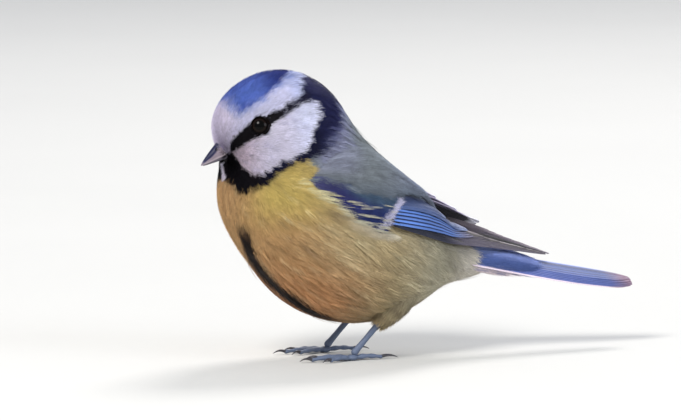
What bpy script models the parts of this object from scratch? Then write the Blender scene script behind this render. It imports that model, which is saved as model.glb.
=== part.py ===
"""A blue tit standing on the ground, as a still model at life size.

The bird faces -Y, its left side is +X, and up is +Z. Every size is in metres, written in
millimetres times MM. Head, neck and torso are one blended form that thin cuts part. The wings
and the tail are overlapping feather vanes, joined to the pad or root that carries them.
"""

import math

import bmesh
import bpy
import numpy as np
from mathutils import Matrix, Vector

MM = 0.001
GAP = 0.3 * MM
FLAT_ANGLE = 1.0

# Blended forms of the body: centre, half sizes across, along and through, and pitch in degrees
BODY_FORMS = {
    "skull": ((0, -14.4, 54.3), (9.6, 12.9, 9.5), 21),
    "nape": ((0, -1.6, 41.4), (10.2, 8.0, 18.0), 6),
    "breast": ((0, -3.9, 34.1), (16.8, 22.0, 17.3), -21),
    "belly": ((0, 5.5, 24.2), (16.7, 21.8, 16.5), -5),
    "rump": ((0, 16.0, 22.6), (7.4, 24.0, 6.2), -6),
    "cheek_left": ((6.0, -14.2, 47.8), (4.7, 7.0, 5.4), 0),
    "cheek_right": ((-6.0, -14.2, 47.8), (4.7, 7.0, 5.4), 0),
}
BLEND = 2.2 * MM

# Points that the body is cast from, and the planes that part it, seen from the side as (y, z)
HEAD_HEART = Vector((0, -14.4, 52.0)) * MM
BODY_HEART = Vector((0, -3.0, 34.0)) * MM
TORSO_AXIS = Vector((0, 0.86, -0.50))
HEAD_CUT = ((-25.5, 40.6), (3.0, 56.6))
NECK_CUT = ((-25.7, 37.6), (8.6, 48.2))

# Bill: where its tip is, how the line of the mouth drops, its whole length with the root in the
# head, and its size where it is deepest
BILL_TIP = Vector((0, -30.1, 43.7)) * MM
BILL_DROP = math.radians(25)
BILL_LENGTH = 9.2 * MM
BILL_HALF_WIDTH = 1.85 * MM
BILL_TOP = 3.4 * MM
BILL_BOTTOM = 1.05 * MM
NOSTRIL_RADIUS = 0.3 * MM

# Eyes: where they sit as (y, z), their size, and how deep they lie under the plumage
EYE_PLACE = (-20.0, 53.2)
EYE_RADIUS = 2.35 * MM
EYE_SINK = 1.6 * MM
LID_RADIUS = 2.15 * MM
LID_THICK = 0.42 * MM

# Wings: the lower and the upper edge of each folded wing, from the wrist to the tip, drawn as on
# the left of the body. The right wing is set a little further back, and its tip reaches past the
# left one's behind the rump.
LEFT_WING = (
    ((15, -13.5, 40), (15.5, -1.5, 34), (14, 11.5, 29.2), (9, 24, 25.9), (3.6, 37, 23.5), (0.8, 52.5, 20.5)),
    ((11, -9, 45.5), (8, 4, 46.5), (4.5, 14, 40.5), (3, 24, 32.6), (1.0, 36.5, 26.0), (-1.4, 52.5, 21.5)),
)
RIGHT_WING = (
    ((15, -9.5, 40), (15.5, 2.5, 34), (14, 15.5, 29.6), (9, 28, 27), (5.2, 40, 24.8), (3.8, 54.8, 20.3)),
    ((11, -6, 45.5), (8.5, 7, 44.4), (5, 17, 38.8), (3, 27, 33.2), (1.6, 39, 27.4), (1.7, 54.8, 21.2)),
)

# Feather tiers of a wing. Each has its count, where its first and last feather are rooted and end
# as (along, across) the wing, its feathers' width, and how far they stand off the wing, in mm.
WING_TIERS = {
    "primary": (6, (0.20, -0.01), (0.24, 0.03), (1.00, 0.30), (0.82, 0.46), 3.4, 0.6),
    "secondary": (6, (0.24, 0.04), (0.28, 0.30), (0.75, 0.28), (0.70, 0.60), 5.0, 0.8),
    "tertial": (3, (0.30, 0.38), (0.32, 0.62), (0.76, 0.70), (0.58, 0.84), 5.4, 1.1),
    "primary_covert": (2, (0.10, -0.02), (0.12, 0.02), (0.46, 0.00), (0.41, 0.04), 3.0, 0.7),
    "greater_covert": (7, (0.10, 0.06), (0.16, 0.60), (0.36, 0.02), (0.43, 0.54), 3.4, 1.3),
    "median_covert": (5, (0.05, 0.12), (0.08, 0.60), (0.22, 0.04), (0.27, 0.56), 4.2, 1.5),
}
VANE_THICK = 0.5 * MM
VANE_TILT = 0.25
VANE_RIDGE = 0.12 * MM
PAD_RISE = 0.9 * MM
PAD_THICK = 1.5 * MM

# Tail: where it leaves the rump, how it slopes, rolls and bends, and its feathers
TAIL_ROOT = Vector((0, 33.0, 20.8)) * MM
TAIL_SLOPE = math.radians(-11)
TAIL_ROLL = math.radians(20)
TAIL_LENGTHS = (39.4, 40.4, 40.9, 41.0, 40.6, 39.6)
TAIL_VANE_HALF = 2.4 * MM
TAIL_SPREAD = 0.6 * MM
TAIL_STEP = 0.24 * MM
TAIL_ROOF = 0.07

# Legs: where the toes part, how the tarsus leans, and the feather trousers round its top
FOOT_SIDE = 8.0 * MM
FOOT_Y = 2.5 * MM
TOES_HIGH = 1.15 * MM
TARSUS_LEAN = math.radians(47)
TROUSER_END = 9.4 * MM

# Toes: turn from straight ahead, length, and claw length
TOES = (
    (24, 7.0, 2.8),
    (0, 9.8, 3.2),
    (-22, 8.0, 2.8),
    (178, 7.2, 4.2),
)
TOE_RADIUS = 0.62 * MM

# Materials: colour and roughness
MATERIALS = {
    "plumage_head": ((0.62, 0.65, 0.74), 0.8),
    "plumage_collar": ((0.03, 0.03, 0.10), 0.8),
    "plumage_body": ((0.62, 0.52, 0.16), 0.85),
    "plumage_wing": ((0.07, 0.13, 0.36), 0.7),
    "plumage_tail": ((0.12, 0.20, 0.45), 0.7),
    "bill_horn": ((0.05, 0.05, 0.07), 0.35),
    "eye_gloss": ((0.01, 0.008, 0.006), 0.05),
    "leg_skin": ((0.13, 0.16, 0.22), 0.55),
}


def form_distance(points, centre, halves, pitch):
    """Distance from an ellipsoid, below zero inside it and nearly true close to its surface."""
    turn = math.radians(pitch)
    offset = points - np.array(centre) * MM
    along = offset[:, 1] * math.cos(turn) + offset[:, 2] * math.sin(turn)
    through = offset[:, 2] * math.cos(turn) - offset[:, 1] * math.sin(turn)
    local = np.stack([offset[:, 0], along, through], axis=1)
    size = np.array(halves) * MM
    near = np.linalg.norm(local / size, axis=1)
    steep = np.linalg.norm(local / size**2, axis=1)
    return near * (near - 1) / np.maximum(steep, 1e-9)


def body_distance(points):
    """Distance from the whole blended body."""
    points = np.asarray(points, float).reshape(-1, 3)
    parts = np.stack([form_distance(points, *form) for form in BODY_FORMS.values()])
    least = parts.min(axis=0)
    return least - BLEND * np.log(np.exp((least - parts) / BLEND).sum(axis=0))


def outward(points):
    """Unit vectors that point straight out of the body."""
    points = np.asarray(points, float).reshape(-1, 3)
    step = 0.05 * MM
    slope = np.empty_like(points)
    for axis in range(3):
        shift = np.zeros(3)
        shift[axis] = step
        slope[:, axis] = body_distance(points + shift) - body_distance(points - shift)
    return slope / np.maximum(np.linalg.norm(slope, axis=1, keepdims=True), 1e-12)


def pushed_out(points, heights):
    """The points, with those that lie lower than their height above the body raised to it."""
    points = np.array(points, float).reshape(-1, 3)
    for _ in range(4):
        lack = np.maximum(heights - body_distance(points), 0)
        points += outward(points) * lack[:, None]
    return points


def cast(origin, directions, grow=0.0, reach=80 * MM):
    """Where rays from inside the body leave it, or leave it grown by a margin."""
    origin = np.array(origin, float)
    near = np.zeros(len(directions))
    far = np.full(len(directions), reach)
    for _ in range(34):
        middle = (near + far) / 2
        inside = body_distance(origin + directions * middle[:, None]) < grow
        near = np.where(inside, middle, near)
        far = np.where(inside, far, middle)
    return origin + directions * near[:, None]


def side_point(y, z, side, height=0.0):
    """The point on the body's side at this place in side view, at a height above it."""
    origin = Vector((0, y, z)) * MM
    direction = np.array([[float(side), 0.0, 0.0]])
    return Vector(cast(origin, direction, height)[0])


def new_object(name, bm):
    """An object with this closed mesh, its faces turned outwards, linked to the scene."""
    bmesh.ops.recalc_face_normals(bm, faces=bm.faces)
    if bm.calc_volume(signed=True) < 0:
        bmesh.ops.reverse_faces(bm, faces=bm.faces)
    mesh = bpy.data.meshes.new(name)
    bm.to_mesh(mesh)
    bm.free()
    obj = bpy.data.objects.new(name, mesh)
    bpy.context.scene.collection.objects.link(obj)
    return obj


def cast_form(name, heart, pole, segments, rings, grow=0.0):
    """The blended body as one closed mesh: a ball whose points are cast out to the surface."""
    bm = bmesh.new()
    bmesh.ops.create_uvsphere(bm, u_segments=segments, v_segments=rings, radius=1)
    turn = pole.to_track_quat("Z", "X")
    directions = np.array([tuple((turn @ v.co).normalized()) for v in bm.verts])
    for vert, point in zip(bm.verts, cast(heart, directions, grow)):
        vert.co = point
    return new_object(name, bm)


def grown_body():
    """The body grown by a little more than the gap, for cutting what lies on it."""
    return cast_form("grown_body", BODY_HEART, TORSO_AXIS, 26, 24, 1.4 * GAP)


def ellipsoid(name, centre, halves, pitch=0.0, segments=20, rings=12):
    """A ball stretched to three half sizes and pitched about X."""
    bm = bmesh.new()
    bmesh.ops.create_uvsphere(bm, u_segments=segments, v_segments=rings, radius=1)
    shape = Matrix.Translation(centre) @ Matrix.Rotation(math.radians(pitch), 4, "X")
    bmesh.ops.transform(bm, matrix=shape @ Matrix.Diagonal((*halves, 1)), verts=bm.verts)
    return new_object(name, bm)


def slice_off(obj, point, normal):
    """Cuts away what lies past a plane and closes the cut."""
    bm = bmesh.new()
    bm.from_mesh(obj.data)
    geometry = bm.verts[:] + bm.edges[:] + bm.faces[:]
    bmesh.ops.bisect_plane(
        bm, geom=geometry, dist=1e-7, plane_co=point, plane_no=normal, clear_outer=True
    )
    rim = [edge for edge in bm.edges if edge.is_boundary]
    bmesh.ops.holes_fill(bm, edges=rim, sides=0)
    bmesh.ops.triangulate(bm, faces=bm.faces)
    bm.to_mesh(obj.data)
    bm.free()


def cut_plane(line):
    """The plane through a line seen from the side: its middle, and its normal away from the head."""
    (front_y, front_z), (back_y, back_z) = line
    middle = Vector((0, front_y + back_y, front_z + back_z)) * MM / 2
    normal = Vector((0, back_z - front_z, front_y - back_y)).normalized()
    return middle, normal


def boolean(obj, others, operation):
    """Applies one Boolean with a collection of closed meshes, and removes them."""
    tools = bpy.data.collections.new("tools")
    bpy.context.scene.collection.children.link(tools)
    for other in others:
        bpy.context.scene.collection.objects.unlink(other)
        tools.objects.link(other)
    modifier = obj.modifiers.new(operation.lower(), "BOOLEAN")
    modifier.operation = operation
    modifier.operand_type = "COLLECTION"
    modifier.collection = tools
    modifier.solver = "EXACT"
    graph = bpy.context.evaluated_depsgraph_get()
    joined = bpy.data.meshes.new_from_object(obj.evaluated_get(graph))
    obj.modifiers.clear()
    obj.data = joined
    for other in others:
        bpy.data.objects.remove(other)
    bpy.data.collections.remove(tools)
    return obj


def keep_largest(obj):
    """Keeps only the largest closed surface of a mesh, with its flat parts in as few faces as may be."""
    bm = bmesh.new()
    bm.from_mesh(obj.data)
    bmesh.ops.triangulate(bm, faces=bm.faces)
    left = set(bm.verts)
    shells = []
    while left:
        shell = [left.pop()]
        for vert in shell:
            for edge in vert.link_edges:
                other = edge.other_vert(vert)
                if other in left:
                    left.remove(other)
                    shell.append(other)
        shells.append(shell)
    shells.sort(key=len)
    for shell in shells[:-1]:
        bmesh.ops.delete(bm, geom=shell, context="VERTS")
    bmesh.ops.dissolve_limit(
        bm, angle_limit=math.radians(FLAT_ANGLE), verts=bm.verts, edges=bm.edges
    )
    bmesh.ops.triangulate(bm, faces=bm.faces)
    bm.to_mesh(obj.data)
    bm.free()
    return obj


def loft(name, rings):
    """A closed body through rings of equal count, with flat ends."""
    bm = bmesh.new()
    rows = [[bm.verts.new(point) for point in ring] for ring in rings]
    count = len(rows[0])
    for lower, upper in zip(rows, rows[1:]):
        for i in range(count):
            j = (i + 1) % count
            bm.faces.new((lower[i], lower[j], upper[j], upper[i]))
    bm.faces.new(rows[0][::-1])
    bm.faces.new(rows[-1])
    return new_object(name, bm)


def tube(name, points, radii, sides=8):
    """A round stem through points, with its own radius at each, as a mesh with closed ends."""
    curve = bpy.data.curves.new(name, "CURVE")
    curve.dimensions = "3D"
    curve.bevel_depth = 1.0
    curve.bevel_resolution = (sides - 4) // 2
    curve.use_fill_caps = True
    spline = curve.splines.new("POLY")
    spline.points.add(len(points) - 1)
    for knot, point, radius in zip(spline.points, points, radii):
        knot.co = (*point, 1)
        knot.radius = radius
    stem = bpy.data.objects.new(name + "_curve", curve)
    bpy.context.scene.collection.objects.link(stem)
    graph = bpy.context.evaluated_depsgraph_get()
    bm = bmesh.new()
    bm.from_mesh(bpy.data.meshes.new_from_object(stem.evaluated_get(graph)))
    bmesh.ops.remove_doubles(bm, verts=bm.verts, dist=1e-6)
    bpy.data.objects.remove(stem)
    return new_object(name, bm)


def bill_axes():
    """Unit vectors along the bill, and up from it."""
    along = Vector((0, -math.cos(BILL_DROP), -math.sin(BILL_DROP)))
    upward = Vector((0, -math.sin(BILL_DROP), math.cos(BILL_DROP)))
    return along, upward


def mandible(name, height, grow=0.0, length=BILL_LENGTH):
    """Half of the bill as a tapering D, its flat side on the line of the mouth."""
    along, upward = bill_axes()
    root = BILL_TIP - along * BILL_LENGTH
    rings = []
    for share in (0, 0.25, 0.45, 0.6, 0.72, 0.82, 0.9, 0.96, 1.0):
        left = 1 - share * 0.985
        taper = min(1, 1.42 * left**0.62)
        narrow = min(1, 1.5 * left**0.68)
        centre = root + along * (length * share) + upward * math.copysign(GAP / 2 - grow, height)
        half = BILL_HALF_WIDTH * narrow + grow
        tall = math.copysign(abs(height) * taper + grow * 2, height)
        ring = []
        for k in range(11):
            angle = math.pi * k / 10
            across = Vector((half * math.cos(angle), 0, 0))
            ring.append(centre + across + upward * tall * math.sin(angle))
        rings.append(ring)
    return loft(name, rings)


def make_bill():
    """The two halves of the bill, with a nostril sunk in each side of the upper one."""
    along, upward = bill_axes()
    upper = mandible("bill_upper", BILL_TOP)
    lower = mandible("bill_lower", -BILL_BOTTOM, length=BILL_LENGTH - 0.35 * MM)
    pits = []
    for side in (-1, 1):
        place = BILL_TIP - along * 4.6 * MM + upward * 1.9 * MM + Vector((side * 1.5, 0, 0)) * MM
        size = Vector((1.2, 1.7, 1)) * NOSTRIL_RADIUS
        pits.append(ellipsoid("nostril", place, size, math.degrees(BILL_DROP), 10, 6))
    boolean(upper, pits, "DIFFERENCE")
    keep_largest(upper)
    return [upper, lower]


def eye_centre(side):
    """The centre of the eyeball, a set depth under the plumage."""
    y, z = EYE_PLACE
    skin = side_point(y, z, side)
    normal = Vector(outward([skin])[0])
    return skin - normal * EYE_SINK, skin, normal


def make_eye(side, name):
    """The eyeball."""
    centre, _, normal = eye_centre(side)
    bm = bmesh.new()
    bmesh.ops.create_uvsphere(bm, u_segments=16, v_segments=10, radius=EYE_RADIUS)
    shape = Matrix.Translation(centre) @ normal.to_track_quat("Z", "Y").to_matrix().to_4x4()
    bmesh.ops.transform(bm, matrix=shape, verts=bm.verts)
    return new_object(name, bm)


def lid_ring(side):
    """The bare rim of the eyelids: a small circle spun round the eye."""
    _, skin, normal = eye_centre(side)
    stand = Matrix.Translation((LID_RADIUS, 0, -0.1 * MM)) @ Matrix.Rotation(math.pi / 2, 4, "X")
    bm = bmesh.new()
    bmesh.ops.create_circle(bm, segments=6, radius=LID_THICK, matrix=stand)
    bmesh.ops.spin(
        bm, geom=bm.verts[:] + bm.edges[:], cent=(0, 0, 0), axis=(0, 0, 1),
        angle=math.tau, steps=20, use_merge=True,
    )
    shape = Matrix.Translation(skin) @ normal.to_track_quat("Z", "Y").to_matrix().to_4x4()
    bmesh.ops.transform(bm, matrix=shape, verts=bm.verts)
    return new_object("lid", bm)


def make_head():
    """The head, with lids round sunk eyes and a socket for the bill."""
    head = cast_form("head", HEAD_HEART, bill_axes()[0], 36, 24)
    point, normal = cut_plane(HEAD_CUT)
    slice_off(head, point, normal)
    boolean(head, [lid_ring(1), lid_ring(-1)], "UNION")
    sockets = []
    for side in (-1, 1):
        centre = eye_centre(side)[0]
        hollow = (EYE_RADIUS + GAP,) * 3
        sockets.append(ellipsoid("socket", centre, hollow, 0, 18, 11))
    sockets.append(mandible("upper_socket", BILL_TOP, GAP))
    sockets.append(mandible("lower_socket", -BILL_BOTTOM, GAP))
    boolean(head, sockets, "DIFFERENCE")
    return keep_largest(head)


def make_neck():
    """The neck, between the head and the shoulders."""
    neck = cast_form("neck", BODY_HEART, TORSO_AXIS, 40, 36)
    point, normal = cut_plane(HEAD_CUT)
    slice_off(neck, point + normal * GAP, -normal)
    point, normal = cut_plane(NECK_CUT)
    slice_off(neck, point, normal)
    return keep_largest(neck)


def make_torso():
    """Breast, back, belly and rump in one."""
    torso = cast_form("torso", BODY_HEART, TORSO_AXIS, 40, 36)
    point, normal = cut_plane(NECK_CUT)
    slice_off(torso, point + normal * GAP, -normal)
    slice_off(torso, TAIL_ROOT, tail_axes()[0])
    return keep_largest(torso)


def along_line(points, share):
    """Points at these shares of the way along a smooth line through a few given points."""
    points = np.array(points, float) * MM
    last = len(points) - 1
    share = np.clip(np.asarray(share, float), 0, 1) * last
    start = np.minimum(share.astype(int), last - 1)
    part = (share - start)[..., None]
    before = points[np.maximum(start - 1, 0)]
    after = points[np.minimum(start + 2, last)]
    here = points[start]
    ahead = points[start + 1]
    bend = 2 * before - 5 * here + 4 * ahead - after
    twist = 3 * here - before - 3 * ahead + after
    return here + 0.5 * part * ((ahead - before) + part * (bend + part * twist))


def wing_base(wing, along, across):
    """Points of the folded wing's inner face, close over the body and stretched out behind it."""
    lower = along_line(wing[0], along)
    upper = along_line(wing[1], along)
    flat = lower + (upper - lower) * across[..., None]
    return pushed_out(flat.reshape(-1, 3), 0.5 * MM).reshape(flat.shape)


def wing_points(wing, side, along, across, height):
    """Points at a height over the folded wing: along from wrist to tip, across from below up."""
    along, across, height = np.broadcast_arrays(along, across, height)
    step = 0.01
    base = wing_base(wing, along, across)
    run = wing_base(wing, along + step, across) - wing_base(wing, along - step, across)
    rise = wing_base(wing, along, across + step) - wing_base(wing, along, across - step)
    normal = np.cross(run, rise)
    normal /= np.linalg.norm(normal, axis=-1, keepdims=True)
    points = base + normal * height[..., None]
    points[..., 0] *= side
    return points


def wing_span(wing, along):
    """How wide the folded wing is at this share of its length."""
    across = np.linspace(0, 1, 9)[:, None]
    along = np.broadcast_to(along, (9, len(along)))
    points = wing_base(wing, along, np.broadcast_to(across, along.shape))
    return np.linalg.norm(np.diff(points, axis=0), axis=-1).sum(axis=0)


def thick_sheet(name, grid, thickness):
    """A closed plate from a grid of points on its outer face, split alike on both faces."""
    rows, columns = grid.shape[:2]
    bm = bmesh.new()
    bmesh.ops.create_grid(bm, x_segments=columns - 1, y_segments=rows - 1, size=0.5)
    for vert in bm.verts:
        column = round((vert.co.x + 0.5) * (columns - 1))
        row = round((vert.co.y + 0.5) * (rows - 1))
        vert.co = grid[row, column]
    bmesh.ops.triangulate(bm, faces=bm.faces)
    bmesh.ops.solidify(bm, geom=bm.faces[:], thickness=thickness)
    return new_object(name, bm)


def wing_vane(wing, side, root, tip, width, lift):
    """One feather: its outer edge runs from root to tip, and it slopes down from there inwards."""
    share = np.array([0, 0.22, 0.44, 0.66, 0.86, 1])
    along = root[0] + (tip[0] - root[0]) * share
    edge = root[1] + (tip[1] - root[1]) * share**1.5
    span = wing_span(wing, np.clip(along, 0, 0.97))
    round_tip = np.sqrt(1 - share**5 * 0.94)
    breadth = width * (0.6 + 0.4 * np.minimum(1, share * 3)) * round_tip
    inset = width * 0.35 * (1 - round_tip)
    columns = []
    for place, ridge in ((0.0, 0.0), (0.32, VANE_RIDGE), (1.0, 0.0)):
        across = edge + (inset + breadth * place) / span
        rise = np.minimum(1, share * 2.5)
        height = lift * rise + ridge - VANE_TILT * breadth * place
        columns.append(wing_points(wing, side, along, across, height))
    return thick_sheet("vane", np.stack(columns, axis=1), -side * VANE_THICK)


def wing_pad(wing, side, name):
    """The arm under the coverts, thickest in the middle."""
    share = np.linspace(0, 1, 9)[:, None]
    across = np.linspace(0, 0.84, 7)[None, :]
    dome = (1 - (2 * share - 1) ** 4) * (1 - (across / 0.42 - 1) ** 4)
    across = 0.36 + (across - 0.36) * (0.5 + 0.5 * np.sqrt(np.minimum(1, 3 * share)))
    along = 0.38 * share
    grid = wing_points(wing, side, along, across, 0.2 * MM + PAD_RISE * dome)
    return thick_sheet(name, grid, -side * PAD_THICK)


def make_wing(wing, side, name):
    """A folded wing: tiers of overlapping vanes on the arm, cut clear of the body."""
    pad = wing_pad(wing, side, name)
    vanes = []
    for count, first_root, last_root, first_tip, last_tip, width, lift in WING_TIERS.values():
        for i in range(count):
            share = i / (count - 1)
            root = np.array(first_root) * (1 - share) + np.array(last_root) * share
            tip = np.array(first_tip) * (1 - share) + np.array(last_tip) * share
            vanes.append(wing_vane(wing, side, root, tip, width * MM, lift * MM))
    boolean(pad, vanes, "UNION")
    boolean(pad, [grown_body()], "DIFFERENCE")
    return keep_largest(pad)


def tail_axes():
    """Unit vectors along the tail, across it to the bird's left, and up from it."""
    along = Vector((0, math.cos(TAIL_SLOPE), math.sin(TAIL_SLOPE)))
    turn = Matrix.Rotation(TAIL_ROLL, 3, along)
    return along, turn @ Vector((1, 0, 0)), turn @ along.cross(Vector((-1, 0, 0)))


def tail_vane(number, side):
    """One tail feather, counted from the middle pair outwards."""
    along, across, upward = tail_axes()
    length = TAIL_LENGTHS[number] * MM
    rows = []
    for step in range(7):
        t = step / 6
        half = TAIL_VANE_HALF * (0.62 + 0.38 * min(1, 1.6 * t)) * math.sqrt(1 - 0.93 * t**7)
        offset = (0.2 * MM + TAIL_SPREAD * number) * (1.1 - 0.75 * t)
        sink = TAIL_STEP * number * (0.5 + 0.5 * t) + 0.3 * MM * math.sin(math.pi * t)
        row = []
        for place, ridge in ((1.1, 0.0), (0.25, VANE_RIDGE), (-0.9, 0.0)):
            reach = side * (offset + half * place)
            rise = ridge - sink - TAIL_ROOF * abs(offset + half * place)
            rise -= 0.12 * MM * (side < 0) * (number == 0)
            point = TAIL_ROOT + along * (GAP + length * t) + across * reach + upward * rise
            row.append(tuple(point + upward * 1.3 * MM))
        rows.append(row)
    return thick_sheet("vane", np.array(rows), side * VANE_THICK)


def make_tail():
    """The tail: six pairs of overlapping vanes, rooted in the coverts behind the rump."""
    along, _, upward = tail_axes()
    place = TAIL_ROOT + along * 1.0 * MM - upward * 0.2 * MM
    size = Vector((4.9, 15.0, 3.9)) * MM
    root = ellipsoid("tail", place, size, math.degrees(TAIL_SLOPE) - 3, 18, 14)
    slice_off(root, TAIL_ROOT + along * GAP, -along)
    vanes = [tail_vane(number, side) for number in range(6) for side in (1, -1)]
    boolean(root, vanes, "UNION")
    return keep_largest(root)


def tarsus_line(side):
    """Where the toes part, and a unit vector from there up the tarsus."""
    foot = Vector((side * FOOT_SIDE, FOOT_Y, TOES_HIGH))
    return foot, Vector((0, math.cos(TARSUS_LEAN), math.sin(TARSUS_LEAN)))


def make_thigh(side, name):
    """The feather trousers round the top of the leg."""
    foot, upward = tarsus_line(side)
    reaches = (TROUSER_END, 10.5 * MM, 12.5 * MM, 15 * MM, 18 * MM, 22 * MM)
    radii = (1.2 * MM, 1.9 * MM, 2.6 * MM, 3.2 * MM, 3.4 * MM, 3.0 * MM)
    thigh = tube(name, [foot + upward * reach for reach in reaches], radii, 14)
    boolean(thigh, [grown_body()], "DIFFERENCE")
    return keep_largest(thigh)


def make_leg(side, name):
    """The bare tarsus."""
    foot, upward = tarsus_line(side)
    reaches = (1.3 * MM, 2.2 * MM, 5 * MM, TROUSER_END - GAP)
    radii = (0.8 * MM, 0.7 * MM, 0.65 * MM, 0.72 * MM)
    return tube(name, [foot + upward * reach for reach in reaches], radii, 12)


def make_foot(side, name):
    """Four toes on their pads, each with its claw."""
    foot, upward = tarsus_line(side)
    ankle = tube(name, [foot, foot + upward * (1.3 * MM - GAP)], (0.75 * MM, 0.78 * MM), 12)
    ball_size = Vector((1.25, 1.5, 0.85)) * MM
    pieces = [ellipsoid("ball", foot - Vector((0, 0, 0.45)) * MM, ball_size, 0, 12, 7)]
    for turn, length, claw in TOES:
        angle = math.radians(turn) * side
        ahead = Vector((math.sin(angle), -math.cos(angle), 0))
        points = []
        radii = []
        for step in range(7):
            t = step / 6
            arch = 0.35 * math.sin(math.pi * t)
            points.append(foot + ahead * length * MM * t - Vector((0, 0, 0.6 - arch)) * MM)
            radii.append(TOE_RADIUS * (1.05 - 0.3 * t + 0.12 * math.cos(t * 19)))
        pieces.append(tube("toe", points, radii, 6))
        points = []
        radii = []
        for step in range(5):
            t = step / 4
            hook = 0.55 * math.sin(2.2 * t) - 0.75 * t * t
            reach = (length - 0.5) * MM + claw * MM * t
            points.append(foot + ahead * reach + Vector((0, 0, hook - 0.55)) * MM)
            radii.append(0.45 * MM * (1 - 0.8 * t))
        pieces.append(tube("claw", points, radii, 6))
    boolean(ankle, pieces, "UNION")
    slice_off(ankle, Vector((0, 0, 0)), Vector((0, 0, -1)))
    return keep_largest(ankle)


def clear_scene():
    for obj in list(bpy.data.objects):
        bpy.data.objects.remove(obj)


def give_material(obj, name):
    """Gives an object the named material, made when it is first asked for."""
    material = bpy.data.materials.get(name)
    if material is None:
        colour, roughness = MATERIALS[name]
        material = bpy.data.materials.new(name)
        material.use_nodes = True
        shader = material.node_tree.nodes["Principled BSDF"]
        shader.inputs["Base Color"].default_value = (*colour, 1)
        shader.inputs["Roughness"].default_value = roughness
        shader.inputs["Metallic"].default_value = 0
    obj.data.materials.clear()
    obj.data.materials.append(material)
    obj.data.shade_smooth()
    obj.data.set_sharp_from_angle(angle=math.radians(40))


def gather(objects):
    """Puts the parts in one collection, under an empty that sets the origin below their middle."""
    collection = bpy.data.collections.new("blue_tit")
    bpy.context.scene.collection.children.link(collection)
    corners = np.array([vert.co for obj in objects for vert in obj.data.vertices])
    middle = (corners.min(axis=0) + corners.max(axis=0)) / 2
    base = bpy.data.objects.new("base", None)
    base.location = (-middle[0], -middle[1], -corners.min(axis=0)[2])
    collection.objects.link(base)
    for obj in objects:
        bpy.context.scene.collection.objects.unlink(obj)
        collection.objects.link(obj)
        obj.parent = base


def main():
    clear_scene()
    upper, lower = make_bill()
    parts = [
        (make_head(), "plumage_head"),
        (upper, "bill_horn"),
        (lower, "bill_horn"),
        (make_eye(1, "eye_left"), "eye_gloss"),
        (make_eye(-1, "eye_right"), "eye_gloss"),
        (make_neck(), "plumage_collar"),
        (make_torso(), "plumage_body"),
        (make_wing(LEFT_WING, 1, "wing_left"), "plumage_wing"),
        (make_wing(RIGHT_WING, -1, "wing_right"), "plumage_wing"),
        (make_tail(), "plumage_tail"),
    ]
    for side, word in ((1, "left"), (-1, "right")):
        parts.append((make_thigh(side, "thigh_" + word), "plumage_body"))
        parts.append((make_leg(side, "leg_" + word), "leg_skin"))
        parts.append((make_foot(side, "foot_" + word), "leg_skin"))
    for obj, name in parts:
        give_material(obj, name)
    gather([obj for obj, _ in parts])


main()
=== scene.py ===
"""The looks of the blue tit: skin, plumage, flight feathers, bill, eyes, legs, light and camera.

Places are worked out in millimetres in the bird's own design frame, where it faces -Y with its
left side at +X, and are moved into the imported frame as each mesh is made.
"""

import math

import bmesh
import bpy
import numpy as np
from mathutils import Matrix, Vector
from mathutils.bvhtree import BVHTree


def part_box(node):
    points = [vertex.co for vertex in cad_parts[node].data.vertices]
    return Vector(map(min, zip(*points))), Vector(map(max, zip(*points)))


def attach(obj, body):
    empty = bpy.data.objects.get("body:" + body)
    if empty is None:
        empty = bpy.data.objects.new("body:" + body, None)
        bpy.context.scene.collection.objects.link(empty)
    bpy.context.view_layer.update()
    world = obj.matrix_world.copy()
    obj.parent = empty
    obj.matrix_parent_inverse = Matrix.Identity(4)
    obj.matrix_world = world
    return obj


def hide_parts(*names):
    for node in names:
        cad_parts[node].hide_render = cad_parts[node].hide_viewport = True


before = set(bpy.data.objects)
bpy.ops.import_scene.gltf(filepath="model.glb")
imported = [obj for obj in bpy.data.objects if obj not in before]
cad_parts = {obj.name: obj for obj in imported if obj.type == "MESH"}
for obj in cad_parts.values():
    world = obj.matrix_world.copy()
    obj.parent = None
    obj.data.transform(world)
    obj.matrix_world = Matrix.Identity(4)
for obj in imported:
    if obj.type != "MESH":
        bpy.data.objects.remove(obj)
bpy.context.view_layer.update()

MM = 0.001
SIDES = ((1, "left"), (-1, "right"))
SIDEWAYS = np.array([1.0, 0, 0])
chance = np.random.default_rng(41)

# Blended forms of the body: centre, half sizes across, along and through, and pitch in degrees
BODY_FORMS = {
    "skull": ((0, -14.4, 54.3), (9.6, 12.9, 9.5), 21),
    "nape": ((0, -1.6, 41.4), (10.2, 8.0, 18.0), 6),
    "breast": ((0, -3.9, 34.1), (16.8, 22.0, 17.3), -21),
    "belly": ((0, 5.5, 24.2), (16.7, 21.8, 16.5), -5),
    "rump": ((0, 16.0, 22.6), (7.4, 24.0, 6.2), -6),
    "cheek_left": ((6.0, -14.2, 47.8), (4.7, 7.0, 5.4), 0),
    "cheek_right": ((-6.0, -14.2, 47.8), (4.7, 7.0, 5.4), 0),
}
BLEND = 2.2

# Points inside the body and the head that the skin is cast from and the markings are seen from
HEART = np.array([0, -5.0, 40.0])
HEAD_HEART = np.array([0, -14.4, 52.0])

# Bill: its tip, how the line of the mouth drops, its length with the root in the head, its half
# sizes where it is deepest, and where it leaves the feathers
BILL_TIP = Vector((0, -30.1, 43.7))
BILL_DROP = math.radians(25)
BILL_LENGTH = 9.2
BILL_HALF_WIDTH = 1.85
BILL_TOP = 3.4
BILL_BOTTOM = 1.05
LOWER_BILL_SHORTER = 0.35
NOSTRIL_RADIUS = 0.3
BILL_BASE = np.array([0, -24.5, 47.0])

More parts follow.
